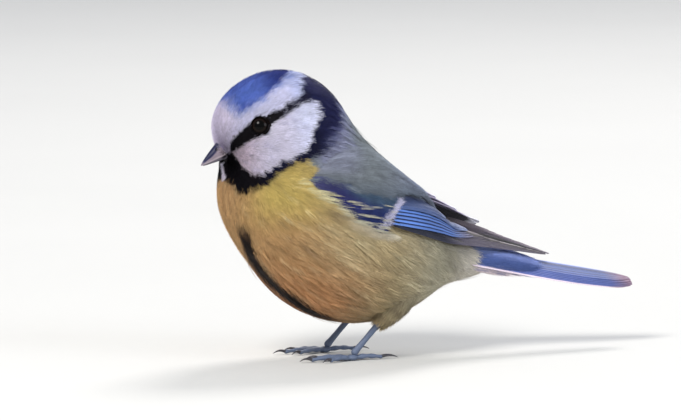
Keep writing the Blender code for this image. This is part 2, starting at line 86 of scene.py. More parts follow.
# Eyes: where they sit as (y, z), the ball's size, how deep it sits, and how wide the lids open
EYE_PLACE = (-20.0, 53.2)
EYE_RADIUS = 2.35
EYE_SINK = 1.6
EYE_OPENING = 1.78
LID_RADIUS = 1.82
LID_THICK = 0.34

# Lower and upper edge of each folded wing, from the wrist to the tip, drawn as on the left side
LEFT_WING = (
    ((15, -13.5, 40), (15.5, -1.5, 34), (14, 11.5, 29.2), (9, 24, 25.9), (3.6, 37, 23.5), (0.8, 52.5, 20.5)),
    ((11, -9, 45.5), (8, 4, 46.5), (4.5, 14, 40.5), (3, 24, 32.6), (1.0, 36.5, 26.0), (-1.4, 52.5, 21.5)),
)
RIGHT_WING = (
    ((15, -9.5, 40), (15.5, 2.5, 34), (14, 15.5, 29.6), (9, 28, 27), (5.2, 40, 24.8), (3.8, 54.8, 20.3)),
    ((11, -6, 45.5), (8.5, 7, 44.4), (5, 17, 38.8), (3, 27, 33.2), (1.6, 39, 27.4), (1.7, 54.8, 21.2)),
)

# How far across a wing feather's and a tail feather's vane the quill lies
QUILL = 0.3
TAIL_QUILL = 0.36

# Tail: its root, pitch and roll, and its feathers' lengths and half width. Outwards from the middle,
# each feather lies a spread further out and a step lower, and the roof is how far the sides slope down.
TAIL_ROOT = Vector((0, 33.0, 20.8))
TAIL_SLOPE = math.radians(-11)
TAIL_ROLL = math.radians(20)
TAIL_LENGTHS = (39.4, 40.4, 40.9, 41.0, 40.6, 39.6)
TAIL_VANE_HALF = 2.4
TAIL_SPREAD = 0.6
TAIL_STEP = 0.24
TAIL_ROOF = 0.07
TAIL_VANES_HIGH = 1.7

# Legs: where the ankle stands, how the leg leans, where its feathers end, and each toe as its turn
# from straight ahead, its length and its claw's length
FOOT_SIDE = 8.0
FOOT_Y = 2.5
TOES_HIGH = 1.15
TARSUS_LEAN = math.radians(47)
TROUSER_END = 9.4
TOES = ((24, 7.0, 2.8), (0, 9.8, 3.2), (-22, 8.0, 2.8), (178, 7.2, 4.2))
TOE_RADIUS = 0.62
CLAW_RADIUS = 0.42
SCUTE_HIGH = 0.035


def linear(colour):
    """A colour given in 0 to 255 as the eye sees it, made linear."""
    colour = np.asarray(colour, float) / 255
    return np.where(colour < 0.04045, colour / 12.92, ((colour + 0.055) / 1.055) ** 2.4)


def smooth(low, high, value):
    """0 below low, 1 above high, and a soft step between them."""
    part = np.clip((np.asarray(value, float) - low) / (high - low), 0, 1)
    return part * part * (3 - 2 * part)


def unit(vectors):
    """The vectors at length one."""
    vectors = np.asarray(vectors, float)
    return vectors / np.maximum(np.linalg.norm(vectors, axis=-1, keepdims=True), 1e-12)


def blend(first, second, share):
    """A share of the way from one colour or array of colours to another."""
    first = np.asarray(first, float)
    second = np.asarray(second, float)
    return first + (second - first) * np.asarray(share, float)[..., None]


def table(pairs, value):
    """A value read off a line through pairs of numbers."""
    return np.interp(value, *np.array(pairs, float).T)


LATTICE = chance.random((61, 257))


def soft_noise(u, v):
    """Smooth noise between -1 and 1 over two coordinates."""
    row, column = np.floor(u).astype(int), np.floor(v).astype(int)
    down, over = smooth(0, 1, u - row), smooth(0, 1, v - column)
    first = LATTICE[row % 61, column % 257] * (1 - over) + LATTICE[row % 61, (column + 1) % 257] * over
    row = row + 1
    second = LATTICE[row % 61, column % 257] * (1 - over) + LATTICE[row % 61, (column + 1) % 257] * over
    return 2 * (first * (1 - down) + second * down) - 1


# The body's shape


def form_distance(points, centre, halves, pitch):
    """About how far points are from one blended form, below zero inside it."""
    turn = math.radians(pitch)
    offset = points - np.array(centre)
    along = offset[:, 1] * math.cos(turn) + offset[:, 2] * math.sin(turn)
    through = offset[:, 2] * math.cos(turn) - offset[:, 1] * math.sin(turn)
    local = np.stack([offset[:, 0], along, through], axis=1)
    near = np.linalg.norm(local / halves, axis=1)
    steep = np.linalg.norm(local / np.square(halves), axis=1)
    return near * (near - 1) / np.maximum(steep, 1e-9)


def body_distance(points):
    """Distance from the whole blended body, below zero inside it."""
    points = np.asarray(points, float).reshape(-1, 3)
    parts = np.stack([form_distance(points, *form) for form in BODY_FORMS.values()])
    least = parts.min(axis=0)
    return least - BLEND * np.log(np.exp((least - parts) / BLEND).sum(axis=0))


def outward(points):
    """Unit vectors that point straight out of the body."""
    points = np.asarray(points, float).reshape(-1, 3)
    slope = np.empty_like(points)
    for axis in range(3):
        shift = np.zeros(3)
        shift[axis] = 0.05
        slope[:, axis] = body_distance(points + shift) - body_distance(points - shift)
    return unit(slope)


def cast(origin, directions, level=0.0, reach=80.0):
    """Where rays from inside the body leave it at a level over its surface."""
    near = np.zeros(len(directions))
    far = np.full(len(directions), reach)
    for _ in range(30):
        middle = (near + far) / 2
        inside = body_distance(origin + directions * middle[:, None]) < level
        near = np.where(inside, middle, near)
        far = np.where(inside, far, middle)
    return origin + directions * near[:, None]


def coat_depth(points):
    """How deep the plumage is over the skin: thin round the bill and deep on the body."""
    away = np.linalg.norm(points - BILL_BASE, axis=1)
    return np.interp(away, (2, 7, 16, 26), (0.4, 0.55, 0.9, 1.1))


def settled(points, level):
    """The points moved straight out or in to a level over the body."""
    points = np.array(points, float)
    for _ in range(2):
        points += outward(points) * (level - body_distance(points))[:, None]
    return points


def eye_place(side):
    """Where the eye meets the plumage's surface, and the way it looks."""
    origin = np.array([0, EYE_PLACE[0], EYE_PLACE[1]])
    place = cast(origin, np.array([[float(side), 0, 0]]))
    return place[0], outward(place)[0]


EYES = {side: eye_place(side) for side in (1, -1)}

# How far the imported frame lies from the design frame, found from an eye in both
eye_low, eye_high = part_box("eye_left")
SHIFT = np.array((eye_low + eye_high) / 2) / MM - (EYES[1][0] - EYES[1][1] * EYE_SINK)


# Making objects


def link(name, mesh, material, nodes=()):
    """Puts a finished mesh in the scene as a piece, which may stand for some of the CAD nodes."""
    mesh.materials.append(material)
    piece = bpy.data.objects.new(name, mesh)
    bpy.context.scene.collection.objects.link(piece)
    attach(piece, "root")
    if nodes:
        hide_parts(*nodes)
    return piece


def paint(mesh, colours):
    """Keeps a marking colour at each point of a mesh, where the materials read it."""
    marks = mesh.color_attributes.new("Marking", "FLOAT_COLOR", "POINT")
    rgba = np.concatenate([colours, np.ones((len(colours), 1))], axis=1)
    marks.data.foreach_set("color", rgba.astype(np.float32).ravel())


def mesh_points(mesh):
    """The points of a piece's mesh, back in design millimetres."""
    points = np.empty(len(mesh.vertices) * 3)
    mesh.vertices.foreach_get("co", points)
    return points.reshape(-1, 3) / MM - SHIFT


def array_object(name, points, triangles, material, colours, bake):
    """A piece from arrays of points and triangles, with a colour and a place to bake at each point."""
    mesh = bpy.data.meshes.new(name)
    mesh.vertices.add(len(points))
    mesh.vertices.foreach_set("co", ((points + SHIFT) * MM).astype(np.float32).ravel())
    mesh.loops.add(triangles.size)
    mesh.loops.foreach_set("vertex_index", triangles.astype(np.int32).ravel())
    mesh.polygons.add(len(triangles))
    mesh.polygons.foreach_set("loop_start", np.arange(0, triangles.size, 3, dtype=np.int32))
    mesh.update(calc_edges=True)
    mesh.shade_flat()
    paint(mesh, colours)
    layer = mesh.uv_layers.new(name="OFBake")
    layer.data.foreach_set("uv", bake[triangles.ravel()].astype(np.float32).ravel())
    return link(name, mesh, material)


def bmesh_object(name, bm, material, nodes=(), smooth_angle=40):
    """A piece from a bmesh in design millimetres, closed and facing outwards."""
    bmesh.ops.recalc_face_normals(bm, faces=bm.faces)
    if bm.calc_volume(signed=True) < 0:
        bmesh.ops.reverse_faces(bm, faces=bm.faces)
    place = Matrix.Scale(MM, 4) @ Matrix.Translation(Vector(SHIFT))
    bmesh.ops.transform(bm, matrix=place, verts=bm.verts)
    mesh = bpy.data.meshes.new(name)
    bm.to_mesh(mesh)
    bm.free()
    mesh.shade_smooth()
    mesh.set_sharp_from_angle(angle=math.radians(smooth_angle))
    return link(name, mesh, material, nodes)


# Materials


def node_group(name, inputs, outputs):
    """An empty shader group with named inputs and outputs, and its two end nodes."""
    group = bpy.data.node_groups.new(name, "ShaderNodeTree")
    for word, kind, value in inputs:
        socket = group.interface.new_socket(word, in_out="INPUT", socket_type=kind)
        socket.default_value = value
    for word, kind in outputs:
        group.interface.new_socket(word, in_out="OUTPUT", socket_type=kind)
    return group, group.nodes.new("NodeGroupInput"), group.nodes.new("NodeGroupOutput")


def math_node(tree, operation, *values):
    """The result of a math node fed with numbers or other nodes' outputs."""
    node = tree.nodes.new("ShaderNodeMath")
    node.operation = operation
    for socket, value in zip(node.inputs, values):
        if isinstance(value, (int, float)):
            socket.default_value = value
        else:
            tree.links.new(value, socket)
    return node.outputs[0]


def scaled(tree, colour, amount):
    """A colour made lighter or darker by a value that changes over the surface."""
    node = tree.nodes.new("ShaderNodeVectorMath")
    node.operation = "SCALE"
    tree.links.new(colour, node.inputs[0])
    tree.links.new(amount, node.inputs["Scale"])
    return node.outputs[0]


def noise_value(tree, scale):
    """Noise over the object's own coordinates, at a scale given as a number or an output."""
    here = tree.nodes.new("ShaderNodeTexCoord")
    noise = tree.nodes.new("ShaderNodeTexNoise")
    noise.inputs["Detail"].default_value = 2
    tree.links.new(here.outputs["Object"], noise.inputs["Vector"])
    if isinstance(scale, (int, float)):
        noise.inputs["Scale"].default_value = scale
    else:
        tree.links.new(scale, noise.inputs["Scale"])
    return noise.outputs["Fac"]


def make_shade_group():
    """Breaks a colour up with soft patches and fine streaks, and varies the roughness with them."""
    group, start, end = node_group(
        "plumage_shade",
        (
            ("Colour", "NodeSocketColor", (0.5, 0.5, 0.5, 1)),
            ("Patch Size", "NodeSocketFloat", 300.0),
            ("Patches", "NodeSocketFloat", 0.2),
            ("Fine Size", "NodeSocketFloat", 3000.0),
            ("Fine", "NodeSocketFloat", 0.2),
            ("Roughness", "NodeSocketFloat", 0.7),
        ),
        (("Colour", "NodeSocketColor"), ("Roughness", "NodeSocketFloat")),
    )
    colour = start.outputs["Colour"]
    for size, amount in (("Patch Size", "Patches"), ("Fine Size", "Fine")):
        swing = math_node(group, "SUBTRACT", noise_value(group, start.outputs[size]), 0.5)
        tone = math_node(group, "MULTIPLY_ADD", swing, start.outputs[amount], 1.0)
        colour = scaled(group, colour, tone)
    group.links.new(colour, end.inputs["Colour"])
    rough = math_node(group, "MULTIPLY_ADD", swing, 0.3, start.outputs["Roughness"])
    group.links.new(rough, end.inputs["Roughness"])
    return group


def make_barb_group():
    """Barbs that slant off the quill of a vane, as a value between 0 and 1."""
    group, start, end = node_group(
        "vane_barbs",
        (("Barbs", "NodeSocketFloat", 120.0), ("Slant", "NodeSocketFloat", 14.0)),
        (("Barb", "NodeSocketFloat"),),
    )
    place = group.nodes.new("ShaderNodeUVMap")
    place.uv_map = "Vane"
    parts = group.nodes.new("ShaderNodeSeparateXYZ")
    group.links.new(place.outputs["UV"], parts.inputs[0])
    away = math_node(group, "ABSOLUTE", math_node(group, "SUBTRACT", parts.outputs["X"], QUILL))
    slanted = math_node(group, "MULTIPLY", away, start.outputs["Slant"])
    run = math_node(group, "MULTIPLY", parts.outputs["Y"], start.outputs["Barbs"])
    bent = math_node(group, "MULTIPLY", noise_value(group, 700), 2.2)
    phase = math_node(group, "ADD", math_node(group, "SUBTRACT", run, slanted), bent)
    wave = math_node(group, "SINE", math_node(group, "MULTIPLY", phase, math.tau))
    group.links.new(math_node(group, "MULTIPLY_ADD", wave, 0.5, 0.5), end.inputs["Barb"])
    return group


SHADE = make_shade_group()
BARBS = make_barb_group()


def new_material(name, roughness, specular=0.3, sheen=0.0):
    """A material with its even values set on the shader's own sockets."""
    material = bpy.data.materials.new(name)
    material.use_nodes = True
    shader = material.node_tree.nodes["Principled BSDF"]
    shader.inputs["Roughness"].default_value = roughness
    shader.inputs["Specular IOR Level"].default_value = specular
    shader.inputs["Sheen Weight"].default_value = sheen
    shader.inputs["Sheen Roughness"].default_value = 0.4
    return material, material.node_tree, shader


def add_group(tree, group, values):
    node = tree.nodes.new("ShaderNodeGroup")
    node.node_tree = group
    for word, value in values.items():
        node.inputs[word].default_value = value
    return node


def marking_node(tree):
    node = tree.nodes.new("ShaderNodeVertexColor")
    node.layer_name = "Marking"
    return node.outputs["Color"]


def shade(tree, shader, roughness, patches, fine, colour=None):
    """Feeds a shader its colour, or else its marking, broken up by two scales of (size, amount)."""
    values = {"Patch Size": patches[0], "Patches": patches[1], "Fine Size": fine[0], "Fine": fine[1]}
    node = add_group(tree, SHADE, dict(values, Roughness=roughness))
    if colour is None:
        colour = marking_node(tree)
    if isinstance(colour, tuple):
        node.inputs["Colour"].default_value = colour
    else:
        tree.links.new(colour, node.inputs["Colour"])
    tree.links.new(node.outputs["Colour"], shader.inputs["Base Color"])
    tree.links.new(node.outputs["Roughness"], shader.inputs["Roughness"])


def raise_by(tree, shader, height, strength, distance):
    """Raises a surface by a value that changes over it."""
    bump = tree.nodes.new("ShaderNodeBump")
    bump.inputs["Strength"].default_value = strength
    bump.inputs["Distance"].default_value = distance
    tree.links.new(height, bump.inputs["Height"])
    tree.links.new(bump.outputs["Normal"], shader.inputs["Normal"])


def plumage_material(name, roughness, sheen=0.15, patches=0.25, fine=0.3):
    """Soft feathering: the marking at each point, broken up by patches and streaks."""
    material, tree, shader = new_material(name, roughness, 0.12, sheen)
    shade(tree, shader, roughness, (420.0, patches), (2600.0, fine))
    return material


def vane_material(name, roughness, barbs=90.0, slant=18.0, depth=0.35):
    """A flight feather: its marking with slanting barbs raised in it."""
    material, tree, shader = new_material(name, roughness, 0.35, 0.05)
    barb = add_group(tree, BARBS, {"Barbs": barbs, "Slant": slant}).outputs["Barb"]
    lined = scaled(tree, marking_node(tree), math_node(tree, "MULTIPLY_ADD", barb, 0.3, 0.82))
    shade(tree, shader, roughness, (500.0, 0.25), (4000.0, 0.2), lined)
    raise_by(tree, shader, barb, depth, 0.00008)
    return material


def bill_material():
    """Satin horn that carries its marking."""
    material, tree, shader = new_material("bill_horn", 0.4, 0.25)
    shade(tree, shader, 0.42, (900.0, 0.35), (5200.0, 0.3))
    return material


def bare_material(name, colour, roughness, size, amount, bump, specular=0.4):
    """Bare skin or horn: one colour broken up by patches and pits."""
    material, tree, shader = new_material(name, roughness, specular)
    shade(tree, shader, roughness, (size, amount), (size * 6, amount), (*linear(colour), 1))
    here = tree.nodes.new("ShaderNodeTexCoord")
    pits = tree.nodes.new("ShaderNodeTexVoronoi")
    pits.inputs["Scale"].default_value = size * 4
    tree.links.new(here.outputs["Object"], pits.inputs["Vector"])
    raise_by(tree, shader, pits.outputs["Distance"], bump, 0.0001)
    return material


def eye_material(side, word):
    """Wet black, a little browner away from the front of the ball."""
    material, tree, shader = new_material("eye_gloss_" + word, 0.1, 0.1)
    place, normal = EYES[side]
    here = tree.nodes.new("ShaderNodeTexCoord")
    away = tree.nodes.new("ShaderNodeVectorMath")
    away.operation = "DISTANCE"
    away.inputs[1].default_value = (place + SHIFT + normal * (EYE_RADIUS - EYE_SINK)) * MM
    tree.links.new(here.outputs["Object"], away.inputs[0])
    ramp = tree.nodes.new("ShaderNodeValToRGB")
    pupil, iris = ramp.color_ramp.elements
    pupil.position = 0.42
    pupil.color = (0.001, 0.001, 0.001, 1)
    iris.position = 0.5
    iris.color = (0.006, 0.003, 0.002, 1)
    share = math_node(tree, "MULTIPLY", away.outputs["Value"], 1 / (2.4 * MM))
    tree.links.new(share, ramp.inputs["Fac"])
    tree.links.new(ramp.outputs["Color"], shader.inputs["Base Color"])
    return material


# Edges of the markings on the head, seen from its middle: degrees round from the bill, and up
CAP_EDGE = (
    (0, 33), (6, 32), (20, 28), (27, 24), (35, 21.5), (40, 25), (45, 30), (53, 35), (61, 40), (79, 53),
    (104, 64), (137, 68), (180, 66.5),
)
STRIPE_TOP = (
    (0, -27), (21, -26), (25, -12), (36, -2), (48, 9), (56, 17), (66, 18), (77, 24), (100, 32), (118, 38),
    (126, 40), (129, 47), (140, 50), (152, 53), (165, 51), (180, 50),
)
STRIPE_LOW = (
    (0, -30), (22, -25), (30, -22), (36, -19), (48, -12), (62, -5), (73, 4), (83, 12), (97, 21.5),
    (113, 28.5), (128, 31), (140, 33),
)
CHEEK_LOW = (
    (0, -20), (23, -24), (28, -29), (35, -34.5), (43, -38.5), (54, -41), (65, -39.5), (71, -36), (78, -32),
    (87, -28), (97, -25), (104, -22), (112, -17), (119, -9), (125, -1), (136, 9), (180, 30),
)
COLLAR_EDGE = (
    (0, -47), (25, -49), (35, -51), (44, -50.5), (55, -48), (64, -45), (71, -42), (78, -38), (87, -33),
    (93, -30), (99, -28), (106, -26), (112, -24), (117, -21), (129, -16), (139, -9), (149, -2), (157, 5),
    (163, 12), (180, 14),
)

# Front and rear edge of the cheek, as degrees up and round from the bill
CHEEK_REAR = ((-60, 130), (-1, 126.5), (9, 136), (16, 141), (24, 142), (30, 136), (34, 127), (60, 120))
CHEEK_FRONT = ((-60, 36), (-42, 31), (-36, 25), (-30, 19), (-22, 18), (-15, 30), (0, 40))

# Where the grey of the back ends, as (y, z), and where the belly's stripe runs, as (y, x)
BACK_LINE = ((-12, 60), (-9.4, 45), (-6, 41.5), (0, 38.5), (11.5, 33), (24, 28), (33.5, 24), (44, 22))
BELLY_LINE = (
    (-24, 6.2), (-22.5, 5.7), (-21.2, 4.6), (-19.7, 2.9), (-16.6, 2.1), (-12.9, 3.2), (-8.7, 4.3), (-2, 3.0),
)

# The white spot on the chin: the height of its top, how far it drops, its start and its slant in x
CHIN_TOP = 44.3
CHIN_DROP = 3.1
CHIN_START = -2.0
CHIN_SLANT = 2.6

# The black round the eye: its middle as degrees round and up, and its reach
EYE_MARK = (60, 5)
EYE_MARK_REACH = 10.5

# The way the plumage lies along the body, and the way out of the back
LIE = np.array([0, 0.864, -0.504])
ABOVE = np.array([0, 0.504, 0.864])

CROWN, BROW, CHEEKS, EYE_STRIPE, COLLAR, BREAST, BELLY, VENT, MANTLE, RUMP = range(1, 11)


def head_angles(points):
    """How far round from the bill, and how far up, a point lies seen from the head's middle."""
    offset = points - HEAD_HEART
    reach = np.linalg.norm(offset, axis=1)
    round_angle = np.degrees(np.arctan2(np.abs(offset[:, 0]), -offset[:, 1]))
    return round_angle, np.degrees(np.arcsin(offset[:, 2] / reach))


def streaks(points, width, length):
    """Streaks between about -1 and 1, narrow across the lie of the plumage and long with it."""
    offset = points - BILL_BASE
    around = np.arctan2(offset[:, 0], offset @ ABOVE) * 16 / width
    away = np.linalg.norm(offset, axis=1) / length + 2 * np.sin(around * 0.9)
    return soft_noise(away, around)


def body_marking(x, y, z, wide, fine, shake):
    """Yellow above, buff in front as painted shade, orange low down as painted warm reflected light, and
    pale behind, with the belly's dark stripe.
    """
    # Buff at the front and low down is the yellow darkened as painted shade
    colour = blend((198, 160, 112), (198, 176, 104), smooth(27, 38, z) * smooth(-25, -18, y))
    colour = blend(colour, (180, 162, 124), smooth(-15, 3, y))
    colour = blend(colour, (168, 162, 140), smooth(7, 24, y))
    # Orange low down is painted warm light reflected from below
    colour = blend(colour, (204, 144, 98), 0.8 * smooth(28, 12, z) * smooth(12, -6, y))
    grain = 0.7 * wide + 0.5 * fine
    colour = blend(colour, (214, 206, 172), smooth(0.25, 0.9, grain) * 0.45)
    colour = blend(colour, (124, 106, 92), smooth(-0.35, -1.0, grain) * 0.4)
    colour = blend(colour, (208, 202, 190), smooth(24, 33, y))
    middle = np.abs(x - table(BELLY_LINE, y)) + shake * 0.22 + 0.35 * fine
    stripe = smooth(2.8, 1.7, middle) * smooth(31.5, 26.5, z + fine) * smooth(3, -5, y)
    return blend(colour, (26, 14, 10), stripe)


def back_marking(y, turn, over_collar, fine):
    """The grey-green mantle, bluer over the rump and paler next to the nape."""
    colour = blend((120, 128, 132), (116, 124, 144), smooth(10, 26, y))
    colour = blend(colour, (84, 102, 152), smooth(27, 35, y))
    pale = smooth(-17, -2, over_collar + 3 * fine) * smooth(110, 124, turn) * 0.75
    return blend(colour, (134, 136, 168), pale)


def hood_marking(turn, rise, over_collar):
    """The black bib, which turns into the navy collar and nape."""
    colour = blend((16, 13, 20), (12, 15, 46), smooth(55, 85, turn))
    colour = blend(colour, (30, 32, 70), smooth(118, 145, turn))
    colour = blend(colour, (74, 72, 116), smooth(24, 46, rise) * smooth(125, 150, turn) * 0.35)
    return blend(colour, (126, 130, 160), smooth(8, 0, over_collar) * smooth(118, 140, turn) * 0.75)


def cheek_marking(turn, fine):
    """White, pinker by the bill, and bluer behind as painted sky light."""
    # The blue-violet tint that grows behind is painted sky light on the white
    colour = blend((220, 204, 218), (216, 212, 230), smooth(36, 76, turn))
    colour = blend(colour, (222, 224, 244), smooth(85, 120, turn))
    return blend(colour, (160, 158, 190), smooth(0.35, 0.9, fine) * 0.5)


def brow_marking(turn, rise, fine):
    """White over the bill and the eyes, bluer behind as painted sky light, and tinged with the cap's blue
    along its edge.
    """
    # The blue-violet tint that grows behind is painted sky light on the white
    colour = blend((222, 214, 234), (206, 206, 230), smooth(15, 50, turn))
    colour = blend(colour, (184, 192, 226), smooth(96, 126, turn) * 0.8)
    tinge = smooth(12, 1, table(CAP_EDGE, turn) - rise) * 0.85 * smooth(0.4, -0.3, fine)
    return blend(colour, (120, 138, 200), tinge)


def cap_marking(y, turn, over_edge, wide, fine):
    """Blue in front and navy behind, partly its own colour and partly painted light in front and painted
    shade behind, paler where it starts.
    """
    # The step from bright blue to navy is partly the cap's own colour and partly painted light and shade
    colour = blend((92, 118, 200), (38, 50, 122), smooth(-20, -12, y))
    colour = blend(colour, (154, 162, 212), smooth(9, 0, over_edge) * smooth(60, 25, turn) * 0.7)
    return blend(colour, (46, 54, 122), smooth(0.1, 0.8, 0.6 * wide + 0.6 * fine) * 0.8)


def chin_spot(x, y, z, fine):
    """Which points lie on the small white spot of the chin."""
    step = np.clip((CHIN_TOP - z) / CHIN_DROP, 0, 1)
    off = np.hypot(x - CHIN_START - CHIN_SLANT * step, z - CHIN_TOP + CHIN_DROP * step)
    return (off < 1.0 + 0.3 * fine) & (y < -20) & (z < CHIN_TOP - 0.4)


def marking(points, jitter=0.0):
    """The colour of the plumage at points on the body, and the number of its region."""
    x, y, z = points.T
    turn, rise = head_angles(points)
    shake = chance.normal(0, 1, (4, len(points))) * jitter
    turn = turn + shake[0]
    rise = rise + shake[1]
    wide = streaks(points, 1.2, 5.0)
    fine = streaks(points, 0.45, 3.2)
    collar = table(COLLAR_EDGE, turn)
    over_cap = rise - table(CAP_EDGE, turn) + (5 * fine + 3 * wide) * smooth(75, 35, turn) + 1.5 * fine
    stripe_top = table(STRIPE_TOP, turn)
    stripe_low = table(STRIPE_LOW, turn)

    back = z + shake[2] * 0.3 > table(BACK_LINE, y)
    hood = rise + 1.5 * fine > collar
    cheek = hood & (turn > table(CHEEK_FRONT, rise)) & (turn + 2.5 * fine < table(CHEEK_REAR, rise))
    cheek &= (rise > table(CHEEK_LOW, turn) + 2 * fine) & (rise < stripe_low)
    stripe = (rise < stripe_top) & (rise > stripe_low) & (turn < 133) & (turn > 25 - 4 * fine)
    off_eye = np.hypot((turn - EYE_MARK[0]) * np.cos(np.radians(rise)), rise - EYE_MARK[1])
    black = stripe | (off_eye < EYE_MARK_REACH)

    colour = body_marking(x, y, z, wide, fine, shake[2])
    region = np.where(y > 14, VENT, np.where(z < 27, BELLY, BREAST))
    contrast = np.full(len(points), 0.2)
    layers = (
        (back, back_marking(y, turn, rise - collar, fine), np.where(y > 14, RUMP, MANTLE), 0.32),
        (hood, hood_marking(turn, rise, rise - collar), COLLAR, 0.28),
        (cheek, cheek_marking(turn, fine), CHEEKS, 0.07),
        (hood & (rise > stripe_top), brow_marking(turn, rise, fine), BROW, 0.07),
        (hood & (over_cap > 0), cap_marking(y, turn, over_cap, wide, fine), CROWN, 0.3),
    )
    for mask, layer, number, streaky in layers:
        colour = np.where(mask[:, None], layer, colour)
        region = np.where(mask, number, region)
        contrast = np.where(mask, streaky, contrast)
    colour = np.where(black[:, None], blend((20, 17, 22), (30, 28, 52), smooth(75, 120, turn)), colour)
    region = np.where(black, EYE_STRIPE, region)
    colour = np.where(chin_spot(x, y, z, fine)[:, None], (222, 216, 230), colour)
    tone = np.exp(contrast * (0.6 * wide + 0.5 * fine))
    return linear(colour) * tone[:, None], region


def lie(points, normals):
    """The way the plumage lies: away from the bill on the head, and back along the body."""
    share = smooth(12, 28, np.linalg.norm(points - BILL_BASE, axis=1))[:, None]
    way = unit(points - BILL_BASE) * (1 - share) + LIE * share
    way -= normals * (way * normals).sum(axis=1, keepdims=True)
    return unit(way)

# The coat, as fans of fine closed barbs
BARBS_EACH = 5

# Regions of the plumage: name, slot, roughness, sheen, and how strong its patches and streaks are
REGIONS = {
    CROWN: ("crown", "plumage_head", 0.5, 0.1, 0.3, 0.35),
    BROW: ("brow", "plumage_head", 0.8, 0.2, 0.12, 0.2),
    CHEEKS: ("cheeks", "plumage_head", 0.8, 0.2, 0.1, 0.16),
    EYE_STRIPE: ("eye_stripe", "plumage_head", 0.7, 0.0, 0.2, 0.3),
    COLLAR: ("collar", "plumage_collar", 0.65, 0.0, 0.3, 0.35),
    BREAST: ("breast", "plumage_body", 0.8, 0.15, 0.2, 0.3),
    BELLY: ("belly", "plumage_body", 0.8, 0.15, 0.2, 0.3),
    VENT: ("vent", "plumage_body", 0.8, 0.2, 0.2, 0.3),
    MANTLE: ("mantle", "plumage_body", 0.75, 0.15, 0.25, 0.35),
    RUMP: ("rump", "plumage_body", 0.75, 0.15, 0.25, 0.35),
}
FEATHERING = {
    number: plumage_material(name + "_feathers", *finish) for number, (name, _, *finish) in REGIONS.items()
}


def bake_place(points):
    """Where a root lies on the unwrap of the skin, from the way it lies from the heart."""
    way = unit(points - HEART)
    across = np.arctan2(way[:, 0], -way[:, 1]) / math.tau + 0.5
    return np.stack([0.01 + 0.98 * across, 0.01 + 0.49 * (way[:, 2] + 1)], axis=1)


def fan_out(*arrays):
    """Each row of every array repeated for the barbs of one fan."""
    return [np.repeat(values, BARBS_EACH, axis=0) for values in arrays]


def fan_places(count):
    """Where each barb of so many fans lies across its fan, from -1 to 1."""
    return np.tile(np.linspace(-1, 1, BARBS_EACH), count)


def swung(ways, sides, angles):
    """The ways turned by these angles towards the sides."""
    return ways * np.cos(angles)[:, None] + sides * np.sin(angles)[:, None]


def uneven(spread, count, middle=0.0):
    """A factor for each of so many colours, near one."""
    return chance.lognormal(middle, spread, (count, 1))


def blades(name, material, paths, outs, widths, dark, light):
    """One object of closed three-sided blades, each along its own path and drawn to a point."""
    count, stops = paths.shape[:2]
    rings = stops - 1
    share = np.arange(rings) / rings
    sides = np.cross(outs, unit(paths[:, -1] - paths[:, 0]))
    size = widths[:, None] * (1 - share**1.5)
    body = paths[:, :-1]
    half = sides[:, None] * size[..., None] / 2
    ring = np.stack([body - half, body + half, body - outs[:, None] * size[..., None] * 0.45], axis=2)
    points = np.concatenate([ring.reshape(count, -1, 3), paths[:, -1:]], axis=1)
    faces = [(0, 1, 2)]
    for i, j in ((0, 1), (1, 2), (2, 0)):
        for k in range(0, 3 * rings - 3, 3):
            faces += [(k + i, k + 3 + i, k + 3 + j), (k + i, k + 3 + j, k + j)]
        faces.append((3 * rings - 3 + i, 3 * rings, 3 * rings - 3 + j))
    triangles = np.arange(count)[:, None, None] * (3 * rings + 1) + np.array(faces)
    shades = [dark + (light - dark) * s for s in share]
    colours = np.stack([shade * part for shade in shades for part in (1, 1, 0.8)] + [light], axis=1)
    spots = [(x * (1 - s), 2 * s - 1) for s in share for x in (-1, 1, 0)] + [(0, 1)]
    bake = bake_place(paths[:, 0])[:, None] + np.array(spots) * 0.0012
    return array_object(
        name, points.reshape(-1, 3), triangles.reshape(-1, 3), material, colours.reshape(-1, 3),
        bake.reshape(-1, 2),
    )


def clear_of_eyes(roots, tips):
    """Draws back the tips that would hang over an eye."""
    for place, normal in EYES.values():
        for share in (0.4, 0.7, 1.0):
            offset = roots + (tips - roots) * share - place
            flat = offset - normal * (offset @ normal)[:, None]
            reach = np.linalg.norm(flat, axis=1)
            near = (reach < EYE_OPENING) & (np.linalg.norm(offset, axis=1) < 4)
            push = unit(flat) * np.maximum(EYE_OPENING - reach, 0)[:, None]
            tips[near] += (push / share)[near] * 1.05
    return tips


def sample_skin(skin, total):
    """Roots spread over the skin, closer where the feathers are shorter."""
    mesh = skin.data
    mesh.calc_loop_triangles()
    corners = np.empty(len(mesh.loop_triangles) * 3, np.int32)
    mesh.loop_triangles.foreach_get("vertices", corners)
    corners = mesh_points(mesh)[corners.reshape(-1, 3)]
    first, second = corners[:, 1] - corners[:, 0], corners[:, 2] - corners[:, 0]
    area = np.linalg.norm(np.cross(first, second), axis=1) / 2
    ends = np.cumsum(area * density(corners.mean(axis=1)))
    order = (np.arange(total) + chance.random(total)) / total * ends[-1]
    picked = np.searchsorted(ends, order)
    along, over = chance.random((2, total))
    flip = along + over > 1
    along, over = np.where(flip, 1 - along, along), np.where(flip, 1 - over, over)
    roots = corners[picked, 0] + first[picked] * along[:, None] + second[picked] * over[:, None]
    return settled(roots, -coat_depth(roots))


def feather_length(points):
    """How long the feathers are: short round the bill and long on the body."""
    away = np.linalg.norm(points - BILL_BASE, axis=1)
    return np.interp(away, (2, 4, 9, 16, 26, 40, 62), (0.7, 0.9, 1.7, 2.4, 3.4, 4.4, 5.2))


